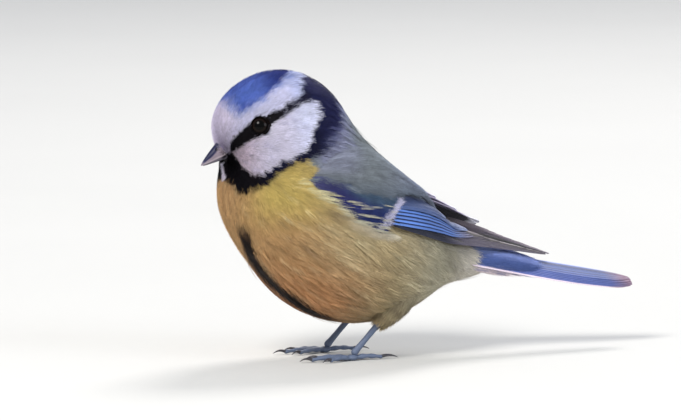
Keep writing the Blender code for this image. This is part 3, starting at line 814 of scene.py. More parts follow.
def density(points):
    """How many feathers grow on each part of the skin, against the rest."""
    weight = feather_length(points) ** -1.35
    for place, normal in EYES.values():
        weight = weight * (np.linalg.norm(points - place, axis=1) > EYE_OPENING + 0.9)
    along = np.array(bill_axes()[0])
    reach = (np.array(BILL_TIP) - points) @ along
    off = np.linalg.norm(points - np.array(BILL_TIP) + reach[:, None] * along, axis=1)
    on_bill = (off <= BILL_HALF_WIDTH + 0.05) & (reach <= BILL_LENGTH + 3) & (points[:, 1] <= -20)
    under_tail = (points[:, 1] > TAIL_ROOT.y) & (points[:, 2] > 14)
    return weight * ~on_bill * np.where(under_tail, 0.4, 1.0)


def bill_axes():
    """The way the bill points, and the way up across it."""
    along = Vector((0, -math.cos(BILL_DROP), -math.sin(BILL_DROP)))
    upward = Vector((0, -math.sin(BILL_DROP), math.cos(BILL_DROP)))
    return along, upward


def covered(roots, normals):
    """Which roots lie under a wing, where no feather shows."""
    hidden = np.zeros(len(roots), bool)
    for name in ("wing_left", "wing_right"):
        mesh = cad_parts[name].data
        mesh.calc_loop_triangles()
        tree = BVHTree.FromPolygons([v.co for v in mesh.vertices], [t.vertices for t in mesh.loop_triangles])
        for i in np.flatnonzero(~hidden & (roots[:, 1] > -2)):
            hit = tree.ray_cast(Vector((roots[i] + SHIFT) * MM), Vector(normals[i]), 6 * MM)
            hidden[i] = hit[0] is not None
    return hidden


def grow_coat(skin, total):
    """Fans of barbs over the whole skin, a piece for each region of the plumage."""
    roots = sample_skin(skin, total)
    normals = outward(roots)
    kept = ~covered(roots, normals)
    roots, normals = roots[kept], normals[kept]
    ways = lie(roots, normals)
    lengths = feather_length(roots) * chance.uniform(0.8, 1.2, len(roots))
    shown = settled(roots + ways * lengths[:, None] * 0.7, -0.2)
    colours, region = marking(shown, 0.7)
    colours = colours * uneven(0.11, len(roots))
    turn = chance.normal(0, 0.09, len(roots)) + 0.16 * streaks(shown, 2.4, 6.0)
    lift = 0.24 * streaks(shown, 0.9, 4.0) * np.minimum(1, lengths / 3)

    fan = fan_places(len(roots))
    roots, normals, ways, lengths, turn, lift, colours, region = fan_out(
        roots, normals, ways, lengths, turn, lift, colours, region
    )
    sides = np.cross(normals, ways)
    spread = fan * 0.18 + turn + chance.normal(0, 0.05, len(fan))
    widths = 0.085 + 0.03 * lengths
    starts = roots + sides * (fan * widths * 0.9)[:, None]
    reach = lengths * (1 - 0.18 * fan**2) * chance.uniform(0.85, 1.1, len(fan))
    tips = starts + swung(ways, sides, spread) * reach[:, None]
    height = chance.normal(0.0, 0.08, len(fan)) + 0.02 * lengths + lift
    height += np.where(chance.random(len(fan)) < 0.02, 0.1 * lengths * chance.random(len(fan)), 0)
    tips = clear_of_eyes(starts, settled(tips, height))
    paths = np.stack([starts, tips], axis=1)
    light = colours * uneven(0.1, len(fan), 0.08)
    for number, (name, slot, *_) in REGIONS.items():
        chosen = region == number
        blades(
            "coat_" + name, FEATHERING[number], paths[chosen], normals[chosen], widths[chosen],
            colours[chosen] * 0.6, light[chosen],
        )


def grow_wisps(skin, total):
    """Longer and looser strands over the body, each following the coat beneath it."""
    roots = sample_skin(skin, total)
    normals = outward(roots)
    away = np.linalg.norm(roots - BILL_BASE, axis=1)
    kept = ~covered(roots, normals) & (away > 19 + 9 * chance.random(len(roots))) & (roots[:, 1] < 30)
    roots, normals, away = roots[kept], normals[kept], away[kept]
    ways = lie(roots, normals)
    sides = np.cross(normals, ways)
    length = np.interp(away, (18, 26, 38), (3.5, 6.0, 8.0)) * chance.uniform(0.75, 1.25, len(roots))
    turn = chance.normal(0, 0.12, len(roots)) + 0.16 * streaks(roots, 2.4, 6.0)
    height = chance.uniform(0.0, 0.16, len(roots)) + 0.5 * (chance.random(len(roots)) < 0.04)
    colours, _ = marking(settled(roots + ways * length[:, None] * 0.6, 0.0), 0.5)
    high = roots[:, 2] > table(BACK_LINE, roots[:, 1])
    colours = colours * np.exp(chance.normal(0.02, np.where(high, 0.1, 0.2)))[:, None]

    fan = fan_places(len(roots))
    roots, normals, ways, sides, length, turn, height, colours, high = fan_out(
        roots, normals, ways, sides, length, turn, height, colours, high
    )
    spread = turn + fan * 0.035 + chance.normal(0, 0.02, len(fan))
    bend = chance.normal(0, 0.05, len(fan))
    reach = length * chance.uniform(0.8, 1.05, len(fan))
    starts = roots + sides * (fan * 0.22)[:, None]
    stops = [starts]
    for share in (0.35, 0.7, 1.0):
        point = starts + swung(ways, sides, spread + bend * share) * (reach * share)[:, None]
        stops.append(settled(point, 0.08 + height * share))
    paths = np.stack(stops, axis=1)
    for name, number, chosen in (("coat_wisps_back", MANTLE, high), ("coat_wisps_under", BELLY, ~high)):
        blades(
            name, FEATHERING[number], paths[chosen], normals[chosen],
            np.full(chosen.sum(), 0.1), colours[chosen] * 0.75, colours[chosen] * 1.08,
        )


def make_skin():
    """One skin for the head, neck and body, at the depth of the coat inside the solids."""
    bm = bmesh.new()
    bmesh.ops.create_icosphere(bm, subdivisions=6, radius=1)
    directions = unit([tuple(v.co) for v in bm.verts])
    surface = cast(HEART, directions, -1.0)
    for vert, point in zip(bm.verts, settled(surface, -coat_depth(surface))):
        vert.co = point
    cast_faces = len(bm.faces)
    for side, _ in SIDES:
        add_thigh(bm, side)
    steady_order(bm, cast_faces)
    nodes = ("head", "neck", "torso", "thigh_left", "thigh_right")
    skin = bmesh_object("skin", bm, plumage_material("skin_plumage", 0.85, 0.1), nodes, 180)
    colours, _ = marking(mesh_points(skin.data))
    paint(skin.data, colours * 0.55)
    return skin


def steady_order(bm, first):
    """Orders the faces from this one on by their corners, as a new sphere's faces come in any order."""
    bm.verts.index_update()
    faces = list(bm.faces)
    faces[first:] = sorted(faces[first:], key=lambda face: sorted(vert.index for vert in face.verts))
    for number, face in enumerate(faces):
        face.index = number
    bm.faces.sort()


def tarsus_line(side):
    """Where a leg stands, and the way it leans up from there."""
    foot = Vector((side * FOOT_SIDE, FOOT_Y, TOES_HIGH))
    return foot, Vector((0, math.cos(TARSUS_LEAN), math.sin(TARSUS_LEAN)))


# Thigh: how far up the leg's line, and how thick it is there
THIGH_REACHES = (TROUSER_END - 0.2, 10.2, 12.5, 15, 18, 22)
THIGH_RADII = (0.75, 1.3, 2.0, 2.7, 3.0, 2.6)


def add_thigh(bm, side):
    """The top of the leg inside its feather trousers."""
    foot, upward = tarsus_line(side)
    made = bmesh.ops.create_uvsphere(bm, u_segments=24, v_segments=16, radius=1)["verts"]
    turn = upward.to_track_quat("Z", "X")
    for vert in made:
        share = (vert.co.z + 1) / 2
        reach = THIGH_REACHES[0] + (THIGH_REACHES[-1] - THIGH_REACHES[0]) * share
        radius = np.interp(reach, THIGH_REACHES, THIGH_RADII) * min(1, 3.2 * math.sqrt(share * (1 - share)))
        flat = Vector((vert.co.x, vert.co.y))
        flat = flat.normalized() * radius if flat.length > 1e-6 else Vector((0, 0))
        vert.co = foot + turn @ Vector((flat.x, flat.y, reach))


def grow_trousers():
    """Short soft feathers round the top of each leg."""
    for side, word in SIDES:
        foot, up = (np.array(v) for v in tarsus_line(side))
        count = 1500
        span = THIGH_REACHES[-1] - THIGH_REACHES[0] - 1
        reach = THIGH_REACHES[0] + 0.4 + span * chance.random(count) ** 0.8
        angle = chance.uniform(0, math.tau, count)
        radial = swung(SIDEWAYS, np.cross(up, SIDEWAYS), angle)
        radius = np.interp(reach, THIGH_REACHES, THIGH_RADII)
        roots = foot + up * reach[:, None] + radial * radius[:, None] * 0.95
        outside = body_distance(roots) > -1.3
        roots, radial, reach = roots[outside], radial[outside], reach[outside]
        colours, _ = marking(roots)
        colours = colours * uneven(0.15, len(roots), 0.05)
        fan = fan_places(len(roots))
        roots, radial, colours, reach = fan_out(roots, radial, colours, reach)
        length = np.interp(reach, (9, 12, 20), (1.6, 2.4, 3.2)) * chance.uniform(0.8, 1.15, len(fan))
        spread = fan * 0.2 + chance.normal(0, 0.08, len(fan))
        lift = chance.uniform(0.12, 0.3, len(fan))
        heading = swung(-up, np.cross(radial, -up), spread) + radial * lift[:, None]
        paths = np.stack([roots, roots + unit(heading) * length[:, None]], axis=1)
        blades(
            "coat_thigh_" + word, FEATHERING[BELLY], paths, radial, np.full(len(fan), 0.17),
            colours * 0.6, colours,
        )


# Wings


def along_line(points, share):
    """Points at these shares of the way along a smooth line through a few given points."""
    points = np.array(points, float)
    last = len(points) - 1
    share = np.minimum(np.asarray(share, float), 1) * last
    before_start = np.minimum(share, 0)[..., None]
    share = np.maximum(share, 0)
    start = np.minimum(share.astype(int), last - 1)
    part = (share - start)[..., None]
    before = points[np.maximum(start - 1, 0)]
    after = points[np.minimum(start + 2, last)]
    here = points[start]
    ahead = points[start + 1]
    bend = 2 * before - 5 * here + 4 * ahead - after
    twist = 3 * here - before - 3 * ahead + after
    curve = here + 0.5 * part * ((ahead - before) + part * (bend + part * twist))
    return curve + before_start * (points[1] - points[0]) * 0.8


def pushed_out(points, height):
    """The points, with those that lie too low moved out to a height over the body."""
    points = np.array(points, float).reshape(-1, 3)
    for _ in range(4):
        lack = np.maximum(height - body_distance(points), 0)
        points += outward(points) * lack[:, None]
    return points


# The folded wing as a map, along from the wrist to the tip and across from the lower edge up, and
# how far it lies over the body. Below and in front of the wing the map follows the body.
MAP_ALONG = np.linspace(-0.2, 1.0, 181)
MAP_ACROSS = np.linspace(-0.75, 1.2, 118)
OVER_BODY = 0.5


def wing_map(wing, side):
    """Where the wing's inner face lies, the way out of it, and how wide the wing is."""
    along, across = np.meshgrid(MAP_ALONG, MAP_ACROSS, indexing="ij")
    lower = along_line(wing[0], along)
    upper = along_line(wing[1], along)
    flat = lower + (upper - lower) * across[..., None]
    base = pushed_out(flat.reshape(-1, 3), OVER_BODY)
    outside = np.maximum(smooth(0.05, -0.35, across), smooth(0.06, -0.08, along)) * smooth(0.6, 0.4, along)
    hugging = settled(base, OVER_BODY)
    base = (base + (hugging - base) * outside.reshape(-1, 1)).reshape(flat.shape)
    run, rise = np.gradient(base, axis=(0, 1))
    within = (MAP_ACROSS[:-1] >= 0) & (MAP_ACROSS[1:] <= 1)
    steps = np.linalg.norm(np.diff(base, axis=1), axis=-1)[:, within]
    span = steps.mean(axis=1) / (MAP_ACROSS[1] - MAP_ACROSS[0])
    mirror = np.array([side, 1, 1] * 2)
    return np.concatenate([base, unit(np.cross(run, rise))], axis=-1) * mirror, span


def wing_points(surface, along, across, height):
    """Points at a height over the folded wing, with the way out there."""
    along, across, height = np.broadcast_arrays(along, across, height)
    row = np.clip((along - MAP_ALONG[0]) / (MAP_ALONG[1] - MAP_ALONG[0]), 0, len(MAP_ALONG) - 1.001)
    column = np.clip((across - MAP_ACROSS[0]) / (MAP_ACROSS[1] - MAP_ACROSS[0]), 0, len(MAP_ACROSS) - 1.001)
    i, j = row.astype(int), column.astype(int)
    down, over = (row - i)[..., None], (column - j)[..., None]
    near = surface[i, j] * (1 - over) + surface[i, j + 1] * over
    far = surface[i + 1, j] * (1 - over) + surface[i + 1, j + 1] * over
    both = near * (1 - down) + far * down
    normal = unit(both[..., 3:])
    return both[..., :3] + normal * height[..., None], normal


# Feather tiers: count, first and last root and tip as (along, across) the wing, width and lift
WING_TIERS = {
    "primary": (9, (0.20, 0.02), (0.24, 0.05), (1.00, -0.22), (0.80, 0.38), 3.4, 0.4),
    "secondary": (6, (0.24, -0.03), (0.28, 0.20), (0.74, 0.14), (0.68, 0.46), 4.8, 0.75),
    "tertial": (3, (0.30, 0.20), (0.32, 0.23), (0.74, 0.47), (0.60, 0.44), 3.4, 1.0),
    "primary_covert": (5, (0.10, -0.04), (0.14, 0.01), (0.375, -0.04), (0.35, 0.01), 2.4, 0.65),
    "greater_covert": (7, (0.12, -0.02), (0.16, 0.34), (0.325, -0.04), (0.36, 0.34), 3.4, 0.9),
    "median_covert": (6, (0.09, 0.02), (0.11, 0.34), (0.24, 0.00), (0.27, 0.34), 3.0, 0.9),
    "lesser_covert": (5, (0.10, 0.10), (0.11, 0.26), (0.19, 0.05), (0.20, 0.24), 2.4, 0.4),
}

# The tiers that lie otherwise on the far wing
FAR_TIERS = {
    "secondary": (6, (0.24, -0.03), (0.28, 0.24), (0.76, 0.18), (0.76, 0.52), 4.8, 0.75),
    "tertial": (3, (0.30, 0.30), (0.32, 0.50), (0.77, 0.58), (0.60, 0.80), 5.8, 1.05),
}

# Where the points of a vane lie across it and along it, and how thick it is
PLACES = np.array([0.0, 0.05, 0.10, 0.14, 0.24, 0.30, 0.36, 0.62, 0.93, 1.0])
STATIONS = np.array([0, 0.1, 0.22, 0.36, 0.5, 0.64, 0.76, 0.86, 0.93, 0.975, 1.0])
VANE_THICK = 0.16

# Where the blue of the coverts shows: below the shoulder feathers and above those of the flank
BLUE_TOP = (
    (-0.1, 0.55), (0.02, 0.45), (0.05, 0.36), (0.08, 0.28), (0.10, 0.24), (0.15, 0.22), (0.20, 0.21),
    (0.26, 0.26), (0.32, 0.28), (0.36, 0.37), (0.41, 0.42), (0.48, 0.50), (0.56, 0.60),
)
BLUE_LOW = (
    (-0.1, 0.5), (0.02, 0.42), (0.05, 0.33), (0.07, 0.25), (0.09, 0.19), (0.12, 0.13), (0.15, 0.10),
    (0.19, 0.05), (0.23, 0.01), (0.27, -0.03), (0.34, -0.05), (0.42, -0.06),
)


# White for the tips of wing feathers, made this bright as painted light shining through the far wing's tips
LIT_WHITE_TIP = (250, 248, 255)


def secondary_colour(far, along, place, share):
    """Blue edge, dark web, and white tips on the far wing, made bright as painted light."""
    edge = blend((88, 126, 202), (72, 106, 174), smooth(0.42, 0.54, along))
    edge = blend(edge, (112, 108, 132), smooth(0.62, 0.74, along))
    web = blend((20, 24, 52), (84, 80, 96), smooth(0.64, 0.78, along))
    colour = blend(edge, web, smooth(0.07, 0.12, place))
    colour = blend(colour, (30, 27, 36), smooth(0.4, 0.62, place))
    # The far wing's white tips are partly their own colour and partly painted light shining through them
    return blend(colour, LIT_WHITE_TIP, smooth(0.92, 0.97, share) * far)


def primary_colour(far, along, place, share):
    """Blue-black at the root and grey-brown towards the tip, with a pale inner rim, and a darker web on the
    far wing as painted shade.
    """
    edge = blend((30, 32, 50), (78, 72, 88), smooth(0.56, 0.70, along))
    # The far wing's darker web is painted shade on its underside
    web = blend((24, 24, 38), (32, 28, 34) if far else (66, 60, 60), smooth(0.56, 0.74, along))
    colour = blend(edge, web, smooth(0.06, 0.12, place))
    colour = blend(colour, (36, 32, 36), smooth(0.02, 0.0, np.abs(place - QUILL)))
    return blend(colour, (164, 152, 160), smooth(0.88, 0.95, place) * smooth(0.6, 0.72, along) * 0.85)


def tertial_colour(far, along, place, share):
    """Grey-blue with a pale rim and tip; on the far wing the web is darkened as painted shade, and the rim
    and tip are broad and bright white as painted light.
    """
    colour = blend((70, 90, 138), (56, 72, 114), smooth(0.0, 0.1, place))
    # On the far wing the near-black web is painted shade
    colour = blend(colour, (40, 36, 44) if far else (64, 76, 112), smooth(0.4, 0.75, place) * 0.9)
    # The far wing's broad pale rim and white tip are brightened as painted light
    colour = blend(colour, (186, 176, 204), smooth(0.86, 0.95, place) * (0.95 if far else 0.2))
    return blend(colour, LIT_WHITE_TIP, smooth(0.88, 0.95, share + 0.03 * place) * (0.95 if far else 0.3))


def covert_colour(far, along, place, share):
    """Blue with a slightly lighter tip."""
    blue = blend((60, 68, 124), (48, 52, 100), smooth(0.1, 0.7, place))
    return blend(blue, (78, 86, 134), smooth(0.8, 1.0, share) * 0.4)


def greater_covert_colour(far, along, place, share):
    """Blue with the white tip that makes the wing bar."""
    blue = blend((60, 68, 124), (48, 52, 100), smooth(0.1, 0.7, place))
    return blend(blue, (176, 174, 204), smooth(0.88, 0.95, share))


def primary_covert_colour(far, along, place, share):
    """Dark blue, nearly black at the tip."""
    blue = blend((44, 52, 96), (28, 28, 46), smooth(0.1, 0.4, place))
    return blend(blue, (18, 18, 26), smooth(0.7, 1, share))


TIER_COLOURS = {
    "primary": primary_colour,
    "secondary": secondary_colour,
    "tertial": tertial_colour,
    "primary_covert": primary_covert_colour,
    "greater_covert": greater_covert_colour,
}


def new_sheet():
    """An empty bmesh for vanes, with its layers for their own places and for their marking."""
    bm = bmesh.new()
    return bm, bm.loops.layers.uv.new("Vane"), bm.verts.layers.float_color.new("Marking")


def add_vane(sheet, grid, places, colours, thickness):
    """Adds a thin closed vane from a grid of points on its outer face."""
    bm, layer, marks = sheet
    rows, columns = grid.shape[:2]
    made = bmesh.ops.create_grid(bm, x_segments=columns - 1, y_segments=rows - 1, size=0.5)["verts"]
    faces = list(dict.fromkeys(face for vert in made for face in vert.link_faces))
    for vert in made:
        column = round((vert.co.x + 0.5) * (columns - 1))
        row = round((vert.co.y + 0.5) * (rows - 1))
        vert.co = grid[row, column]
        vert[marks] = (*colours[row, column], 1)
        for loop in vert.link_loops:
            loop[layer].uv = places[row, column]
    bmesh.ops.solidify(bm, geom=faces, thickness=thickness)


def add_wing_vane(sheet, wing, tier, root, tip, width, lift):
    """Adds a feather that lies over the folded wing from its root to its tip."""
    surface, span, side = wing
    along = root[0] + (tip[0] - root[0]) * STATIONS
    edge = root[1] + (tip[1] - root[1]) * STATIONS**1.1
    wide = np.interp(np.clip(along, 0, 0.97), MAP_ALONG, span)
    round_tip = np.sqrt(1 - STATIONS ** (3.2 if "covert" in tier else 5) * 0.96)
    breadth = width * (0.6 + 0.4 * np.minimum(1, STATIONS * 3)) * round_tip
    inset = width * 0.35 * (1 - round_tip)
    across = edge[:, None] + (inset[:, None] + breadth[:, None] * PLACES) / wide[:, None]
    rise = np.minimum(1, STATIONS * 6)[:, None]
    height = lift * rise * (1 - 0.7 * smooth(0.4, 1.05, along))[:, None]
    height = height + quill_ridge(PLACES, QUILL, 0.07) - 0.25 * breadth[:, None] * PLACES
    grid, _ = wing_points(surface, along[:, None], across, height)
    place = np.broadcast_to(PLACES, grid.shape[:2])
    along = np.broadcast_to(along[:, None], place.shape)
    part = np.broadcast_to(STATIONS[:, None], place.shape)
    colours = TIER_COLOURS.get(tier, covert_colour)(side < 0, along, place, part)
    colours = linear(colours) * chance.lognormal(0, 0.06)
    add_vane(sheet, grid, np.stack([place, part], axis=-1), colours, -side * VANE_THICK)


def quill_ridge(places, quill, height):
    """How far the quill stands out of its vane at these places across it."""
    return height * np.exp(-(((places - quill) / 0.03) ** 2))


def make_wing(wing, word, materials):
    """The feathers of one folded wing, a piece for each tier."""
    tiers = dict(WING_TIERS, **FAR_TIERS) if wing[2] < 0 else WING_TIERS
    for tier, (count, first_root, last_root, first_tip, last_tip, width, lift) in tiers.items():
        sheet = new_sheet()
        for share in np.linspace(0, 1, count):
            root = np.array(first_root) * (1 - share) + np.array(last_root) * share
            tip = np.array(first_tip) * (1 - share) + np.array(last_tip) * share
            tip = tip + chance.normal(0, 0.004, 2)
            add_wing_vane(sheet, wing, tier, root, tip, width, lift + 0.03 * share)
        material = materials["covert" if "covert" in tier else "flight"]
        nodes = ("wing_" + word,)
        bmesh_object(f"wing_{word}_{tier}s", sheet[0], material, nodes, 35)


def cover_height(along, across):
    """How high the soft feathers over the folded wing stand, sinking into the coat round it."""
    front = smooth(-0.1, 0.13, along - 0.1 * across)
    under = smooth(-0.6, 0.1, across)
    end = np.interp(across, (0.25, 0.4, 0.5, 0.65, 0.8, 1.1), (0.40, 0.44, 0.53, 0.58, 0.60, 0.60))
    rear = 1 - 0.62 * smooth(end - 0.12, end + 0.05, along)
    over = 1 - 0.6 * smooth(0.6, 1.1, across)
    return 3.6 * front * under * rear * over - 1.9


def wing_coat(name, material, surface, places, run, lift, colours, width, stops=2, spread=0.008):
    """Fans of barbs laid over the wing, each from its place on the map and running so far over it."""
    fan = fan_places(len(lift))
    along, across, length, climb, lift, colours = fan_out(*places, *run, lift, colours)
    length = length * chance.uniform(0.85, 1.1, len(fan)) * (1 - 0.12 * fan**2)
    across = across + fan * 0.012
    climb = climb + fan * spread + chance.normal(0, 0.004, len(fan))
    rough = chance.normal(0, 0.05, len(fan))
    path = []
    for share in np.linspace(0, 1, stops):
        here, there = along + length * share, across + climb * share
        height = cover_height(here, there) + (lift + rough) * share - 0.7 * (1 - share) ** 2
        path.append(wing_points(surface, here, there, height))
    light = colours * uneven(0.1, len(fan), 0.06)
    paths = np.stack([points for points, _ in path], axis=1)
    blades(name, material, paths, path[0][1], np.full(len(fan), width), colours * 0.6, light)


def grow_scapulars(surface, side, word):
    """The long soft feathers of the shoulder, over the top of the wing."""
    count = 5200
    across = chance.uniform(0.15, 1.12, count)
    reach = np.interp(across, (0.3, 0.5, 0.7, 1.1), (0.36, 0.46, 0.51, 0.51)) - 0.05
    along = 0.02 + 0.06 * across + chance.uniform(0, 1, count) * reach
    over_blue = across - table(BLUE_TOP, along + 0.06)
    kept = (over_blue > 0.05) & ((side > 0) | (along < 0.44))
    along, across, over_blue = along[kept], across[kept], over_blue[kept]
    count = len(along)
    wave = soft_noise(along * 24, across * 30)
    grain = soft_noise(along * 44 + 9, across * 70)
    base = blend((120, 127, 132), (114, 122, 144), smooth(0.15, 0.45, along))
    base = blend(base, (98, 108, 120), smooth(0.22, 0.02, over_blue - 0.03) * 0.6)
    # Lighter towards the rear as painted light, against the shade where these feathers slope away from the
    # light
    base = blend(base, (138, 146, 162), smooth(0.36, 0.5, along) * 0.8)
    base = blend(base, (134, 136, 164), smooth(0.16, 0.08, along) * smooth(0.3, 0.6, across) * 0.5)
    tone = np.exp(0.22 * wave + 0.24 * grain) * chance.lognormal(0, 0.1, count)
    run = (chance.uniform(0.05, 0.08, count), chance.normal(-0.02, 0.012, count) + 0.02 * wave)
    wing_coat(
        "coat_scapulars_" + word, FEATHERING[MANTLE], surface, (along, across), run,
        0.2 + 0.14 * wave, linear(base) * tone[:, None], 0.2,
    )


def grow_coverts(surface, word):
    """The small blue feathers below the shoulder, greener along their top."""
    count = 2200
    along = chance.uniform(0.05, 0.29, count)
    spare = 0.07 * smooth(0.03, 0.12, along)
    low, high = table(BLUE_LOW, along) - spare - 0.03, table(BLUE_TOP, along) + spare
    across = low + (high - low) * chance.random(count)
    share = (across - low) / (high - low)
    base = blend((50, 52, 102), (40, 52, 104), smooth(0.1, 0.25, along))
    base = blend(base, (72, 94, 112), smooth(0.45, 0.85, share) * smooth(0.08, 0.16, along) * 0.85)
    tone = np.exp(0.22 * soft_noise(along * 50, across * 60)) * chance.lognormal(0, 0.1, count)
    run = (chance.uniform(0.04, 0.06, count), chance.normal(-0.01, 0.01, count))
    wing_coat(
        "coat_coverts_" + word, FEATHERING[CROWN], surface, (along, across), run,
        np.full(count, 0.05), linear(base) * tone[:, None], 0.18,
    )


def grow_wingbar(surface, word):
    """The white bar over the tips of the greater coverts."""
    count = 420
    across = chance.uniform(-0.1, 0.34, count)
    along = np.interp(across, (-0.1, 0.0, 0.15, 0.25, 0.34), (0.284, 0.292, 0.304, 0.318, 0.342))
    along = along + chance.normal(0.004, 0.006, count) + 0.014 * soft_noise(across * 30, across * 0 + 3.5)
    run = (chance.uniform(0.016, 0.034, count), chance.normal(0, 0.014, count))
    wing_coat(
        "coat_wingbar_" + word, FEATHERING[BROW], surface, (along, across), run,
        np.full(count, 0.12), linear((198, 196, 220)) * uneven(0.16, count), 0.14,
    )


def grow_flank(surface, word):
    """The loose feathers of the flank, over the lower edge of the wing."""
    count = 4400
    along = chance.uniform(-0.03, 0.36, count)
    length = chance.uniform(0.05, 0.08, count)
    top = table(BLUE_LOW, along + length) - 0.09 + 0.045 * soft_noise(along * 70, along * 0 + 8.5)
    climb = chance.normal(0.035, 0.02, count)
    across = top - climb - 0.02 - (0.62 + top) * chance.random(count) ** 1.2
    spots, _ = wing_points(surface, along + length, across, 0)
    base, _ = marking(spots)
    pale = blend((214, 196, 128), (212, 208, 196), smooth(0.04, 0.2, along))
    by_edge = smooth(0.24, 0.02, top - across) * (0.05 + 0.55 * smooth(0.06, 0.22, along))
    base = blend(base, linear(pale), by_edge)
    wave = soft_noise(along * 20 + 5, across * 50)
    tone = np.exp(0.16 * wave) * chance.lognormal(0, 0.09, count)
    wing_coat(
        "coat_flank_" + word, FEATHERING[BREAST], surface, (along, across), (length, climb),
        0.1 + 0.15 * wave, base * tone[:, None], 0.18,
    )


def grow_strands(surface, word):
    """Clumps of long pale strands that reach from the flank up over the blue."""
    count = 90
    clumps = 34
    clump = chance.uniform(0.05, 0.38, clumps)[chance.integers(0, clumps, count)]
    along = clump + chance.normal(0, 0.006, count)
    length = chance.uniform(0.05, 0.11, count)
    climb = chance.uniform(0.05, 0.13, count) * smooth(0.5, 0.1, along) + 0.5 * (along - clump)
    low, high = table(BLUE_LOW, along), table(BLUE_TOP, along)
    across = low - 0.08 + (0.06 + 0.7 * (high - low)) * chance.random(count) ** 1.5
    base = blend((218, 208, 158), (202, 198, 176), smooth(0.05, 0.3, along))
    places = (along - length, across - climb)
    lift = chance.uniform(0.25, 0.6, count)
    wing_coat(
        "coat_strands_" + word, FEATHERING[BREAST], surface, places, (length, climb),
        lift, linear(base) * uneven(0.1, count), 0.065, 4, -0.008,
    )


# Tail


def tail_axes():
    """The way the tail points, the way to its left, and the way out of its upper side."""
    along = Vector((0, math.cos(TAIL_SLOPE), math.sin(TAIL_SLOPE)))
    turn = Matrix.Rotation(TAIL_ROLL, 3, along)
    return along, turn @ Vector((1, 0, 0)), turn @ along.cross(Vector((-1, 0, 0)))


def tail_colour(number, lateral, place, share):
    """The colour of a tail feather, by how far left on the whole tail, and where on the vane, it is, with a
    painted sheen over its right half.
    """
    # The pale blue over the right half is a painted sheen of sunlight
    colour = blend((150, 166, 224), (78, 98, 156), smooth(-2.6, -0.6, lateral))
    colour = blend(colour, (92, 106, 168), smooth(0.8, 3.2, lateral) * 0.8)
    colour = blend(colour, (60, 62, 92), smooth(0.07, 0.12, place) * smooth(0.6, 0.3, place) * 0.55)
    if number == 5:
        colour = blend(colour, (226, 210, 222), smooth(0.22, 0.1, place))
    quill = smooth(0.04, 0.0, np.abs(place - TAIL_QUILL))
    colour = blend(colour, (40, 38, 54), quill * 0.6)
    return blend(colour, (152, 118, 132), smooth(0.84, 1.0, share) * 0.85)


def make_tail(material):
    """The tail's vanes, a pair at a time from the middle outwards."""
    along, across, upward = (np.array(v) for v in tail_axes())
    sheet = new_sheet()
    places = np.array([0, 0.05, 0.09, 0.14, 0.3, 0.36, 0.42, 0.7, 1.0])
    ridge = quill_ridge(places, TAIL_QUILL, 0.08)
    t = STATIONS[:, None]
    half = TAIL_VANE_HALF * (0.62 + 0.38 * np.minimum(1, 1.6 * t)) * np.sqrt(1 - 0.95 * t**7)
    for number, length in enumerate(TAIL_LENGTHS):
        for side, _ in SIDES:
            offset = (0.2 + TAIL_SPREAD * number) * (1.1 - 0.75 * t)
            sink = TAIL_STEP * number * (0.5 + 0.5 * t) + 0.3 * np.sin(math.pi * t)
            reach = offset + half * (1.1 - 2.0 * places)
            under = 0.12 * (side < 0) * (number == 0)
            rise = ridge - sink - TAIL_ROOF * np.abs(reach) - under + TAIL_VANES_HIGH
            grid = np.array(TAIL_ROOT) + along * (length * t)[..., None]
            grid = grid + across * (side * reach)[..., None] + upward * rise[..., None]
            part = np.broadcast_to(t, grid.shape[:2])
            spot = np.broadcast_to(places, grid.shape[:2])
            colours = linear(tail_colour(number, side * reach, spot, part)) * chance.lognormal(0, 0.05)
            add_vane(sheet, grid, np.stack([spot, part], axis=-1), colours, side * 0.18)
    bmesh_object("tail_feathers", sheet[0], material, ("tail",), 35)


def grow_tail_coverts():
    """Long soft feathers over and under the root of the tail."""
    along, across, upward = (np.array(v) for v in tail_axes())
    count = 4200
    angle = chance.uniform(0, math.tau, count)
    reach = chance.uniform(-5, 12.5, count)
    low = smooth(0.1, -0.15, np.sin(angle))
    reach = reach - (reach + 5) * 0.5 * low
    size = np.sqrt(1 - ((reach - 1) / 14.5) ** 2)
    radial = swung(across, upward, angle)
    centre = np.array(TAIL_ROOT) - upward * 0.2 + along * reach[:, None]
    roots = centre + across * (np.cos(angle) * size * 5.0)[:, None]
    roots = roots + upward * (np.sin(angle) * size * (3.9 - 2.3 * low))[:, None]
    top = smooth(-0.02, 0.2, np.sin(angle) + chance.normal(0, 0.08, count))
    base = blend((222, 208, 212), (78, 96, 152), top)
    # The pale blue along the top is a painted sheen of sunlight
    base = blend(base, (156, 172, 228), smooth(0.65, 0.95, np.sin(angle)) * 0.8)
    base = blend(base, (112, 108, 166), smooth(0.25, -0.3, np.sin(angle)) * top * 0.7)
    colours = linear(base) * uneven(0.13, count)
    fan = fan_places(count)
    roots, radial, colours = fan_out(roots, radial, colours)
    side_way = np.cross(radial, along)
    length = chance.uniform(4.5, 7, len(fan))
    spread = fan * 0.07 + chance.normal(0, 0.03, len(fan))
    heading = swung(along, side_way, spread) - radial * 0.1
    starts = roots + side_way * (fan * 0.22)[:, None] - radial * 0.5
    paths = np.stack([starts, roots + unit(heading) * length[:, None] + radial * 0.25], axis=1)
    piece = blades(
        "coat_tail_coverts", FEATHERING[RUMP], paths, radial, np.full(len(fan), 0.2),
        colours * 0.65, colours * 1.05,
    )
    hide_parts("tail")


# Bill, eyes and legs


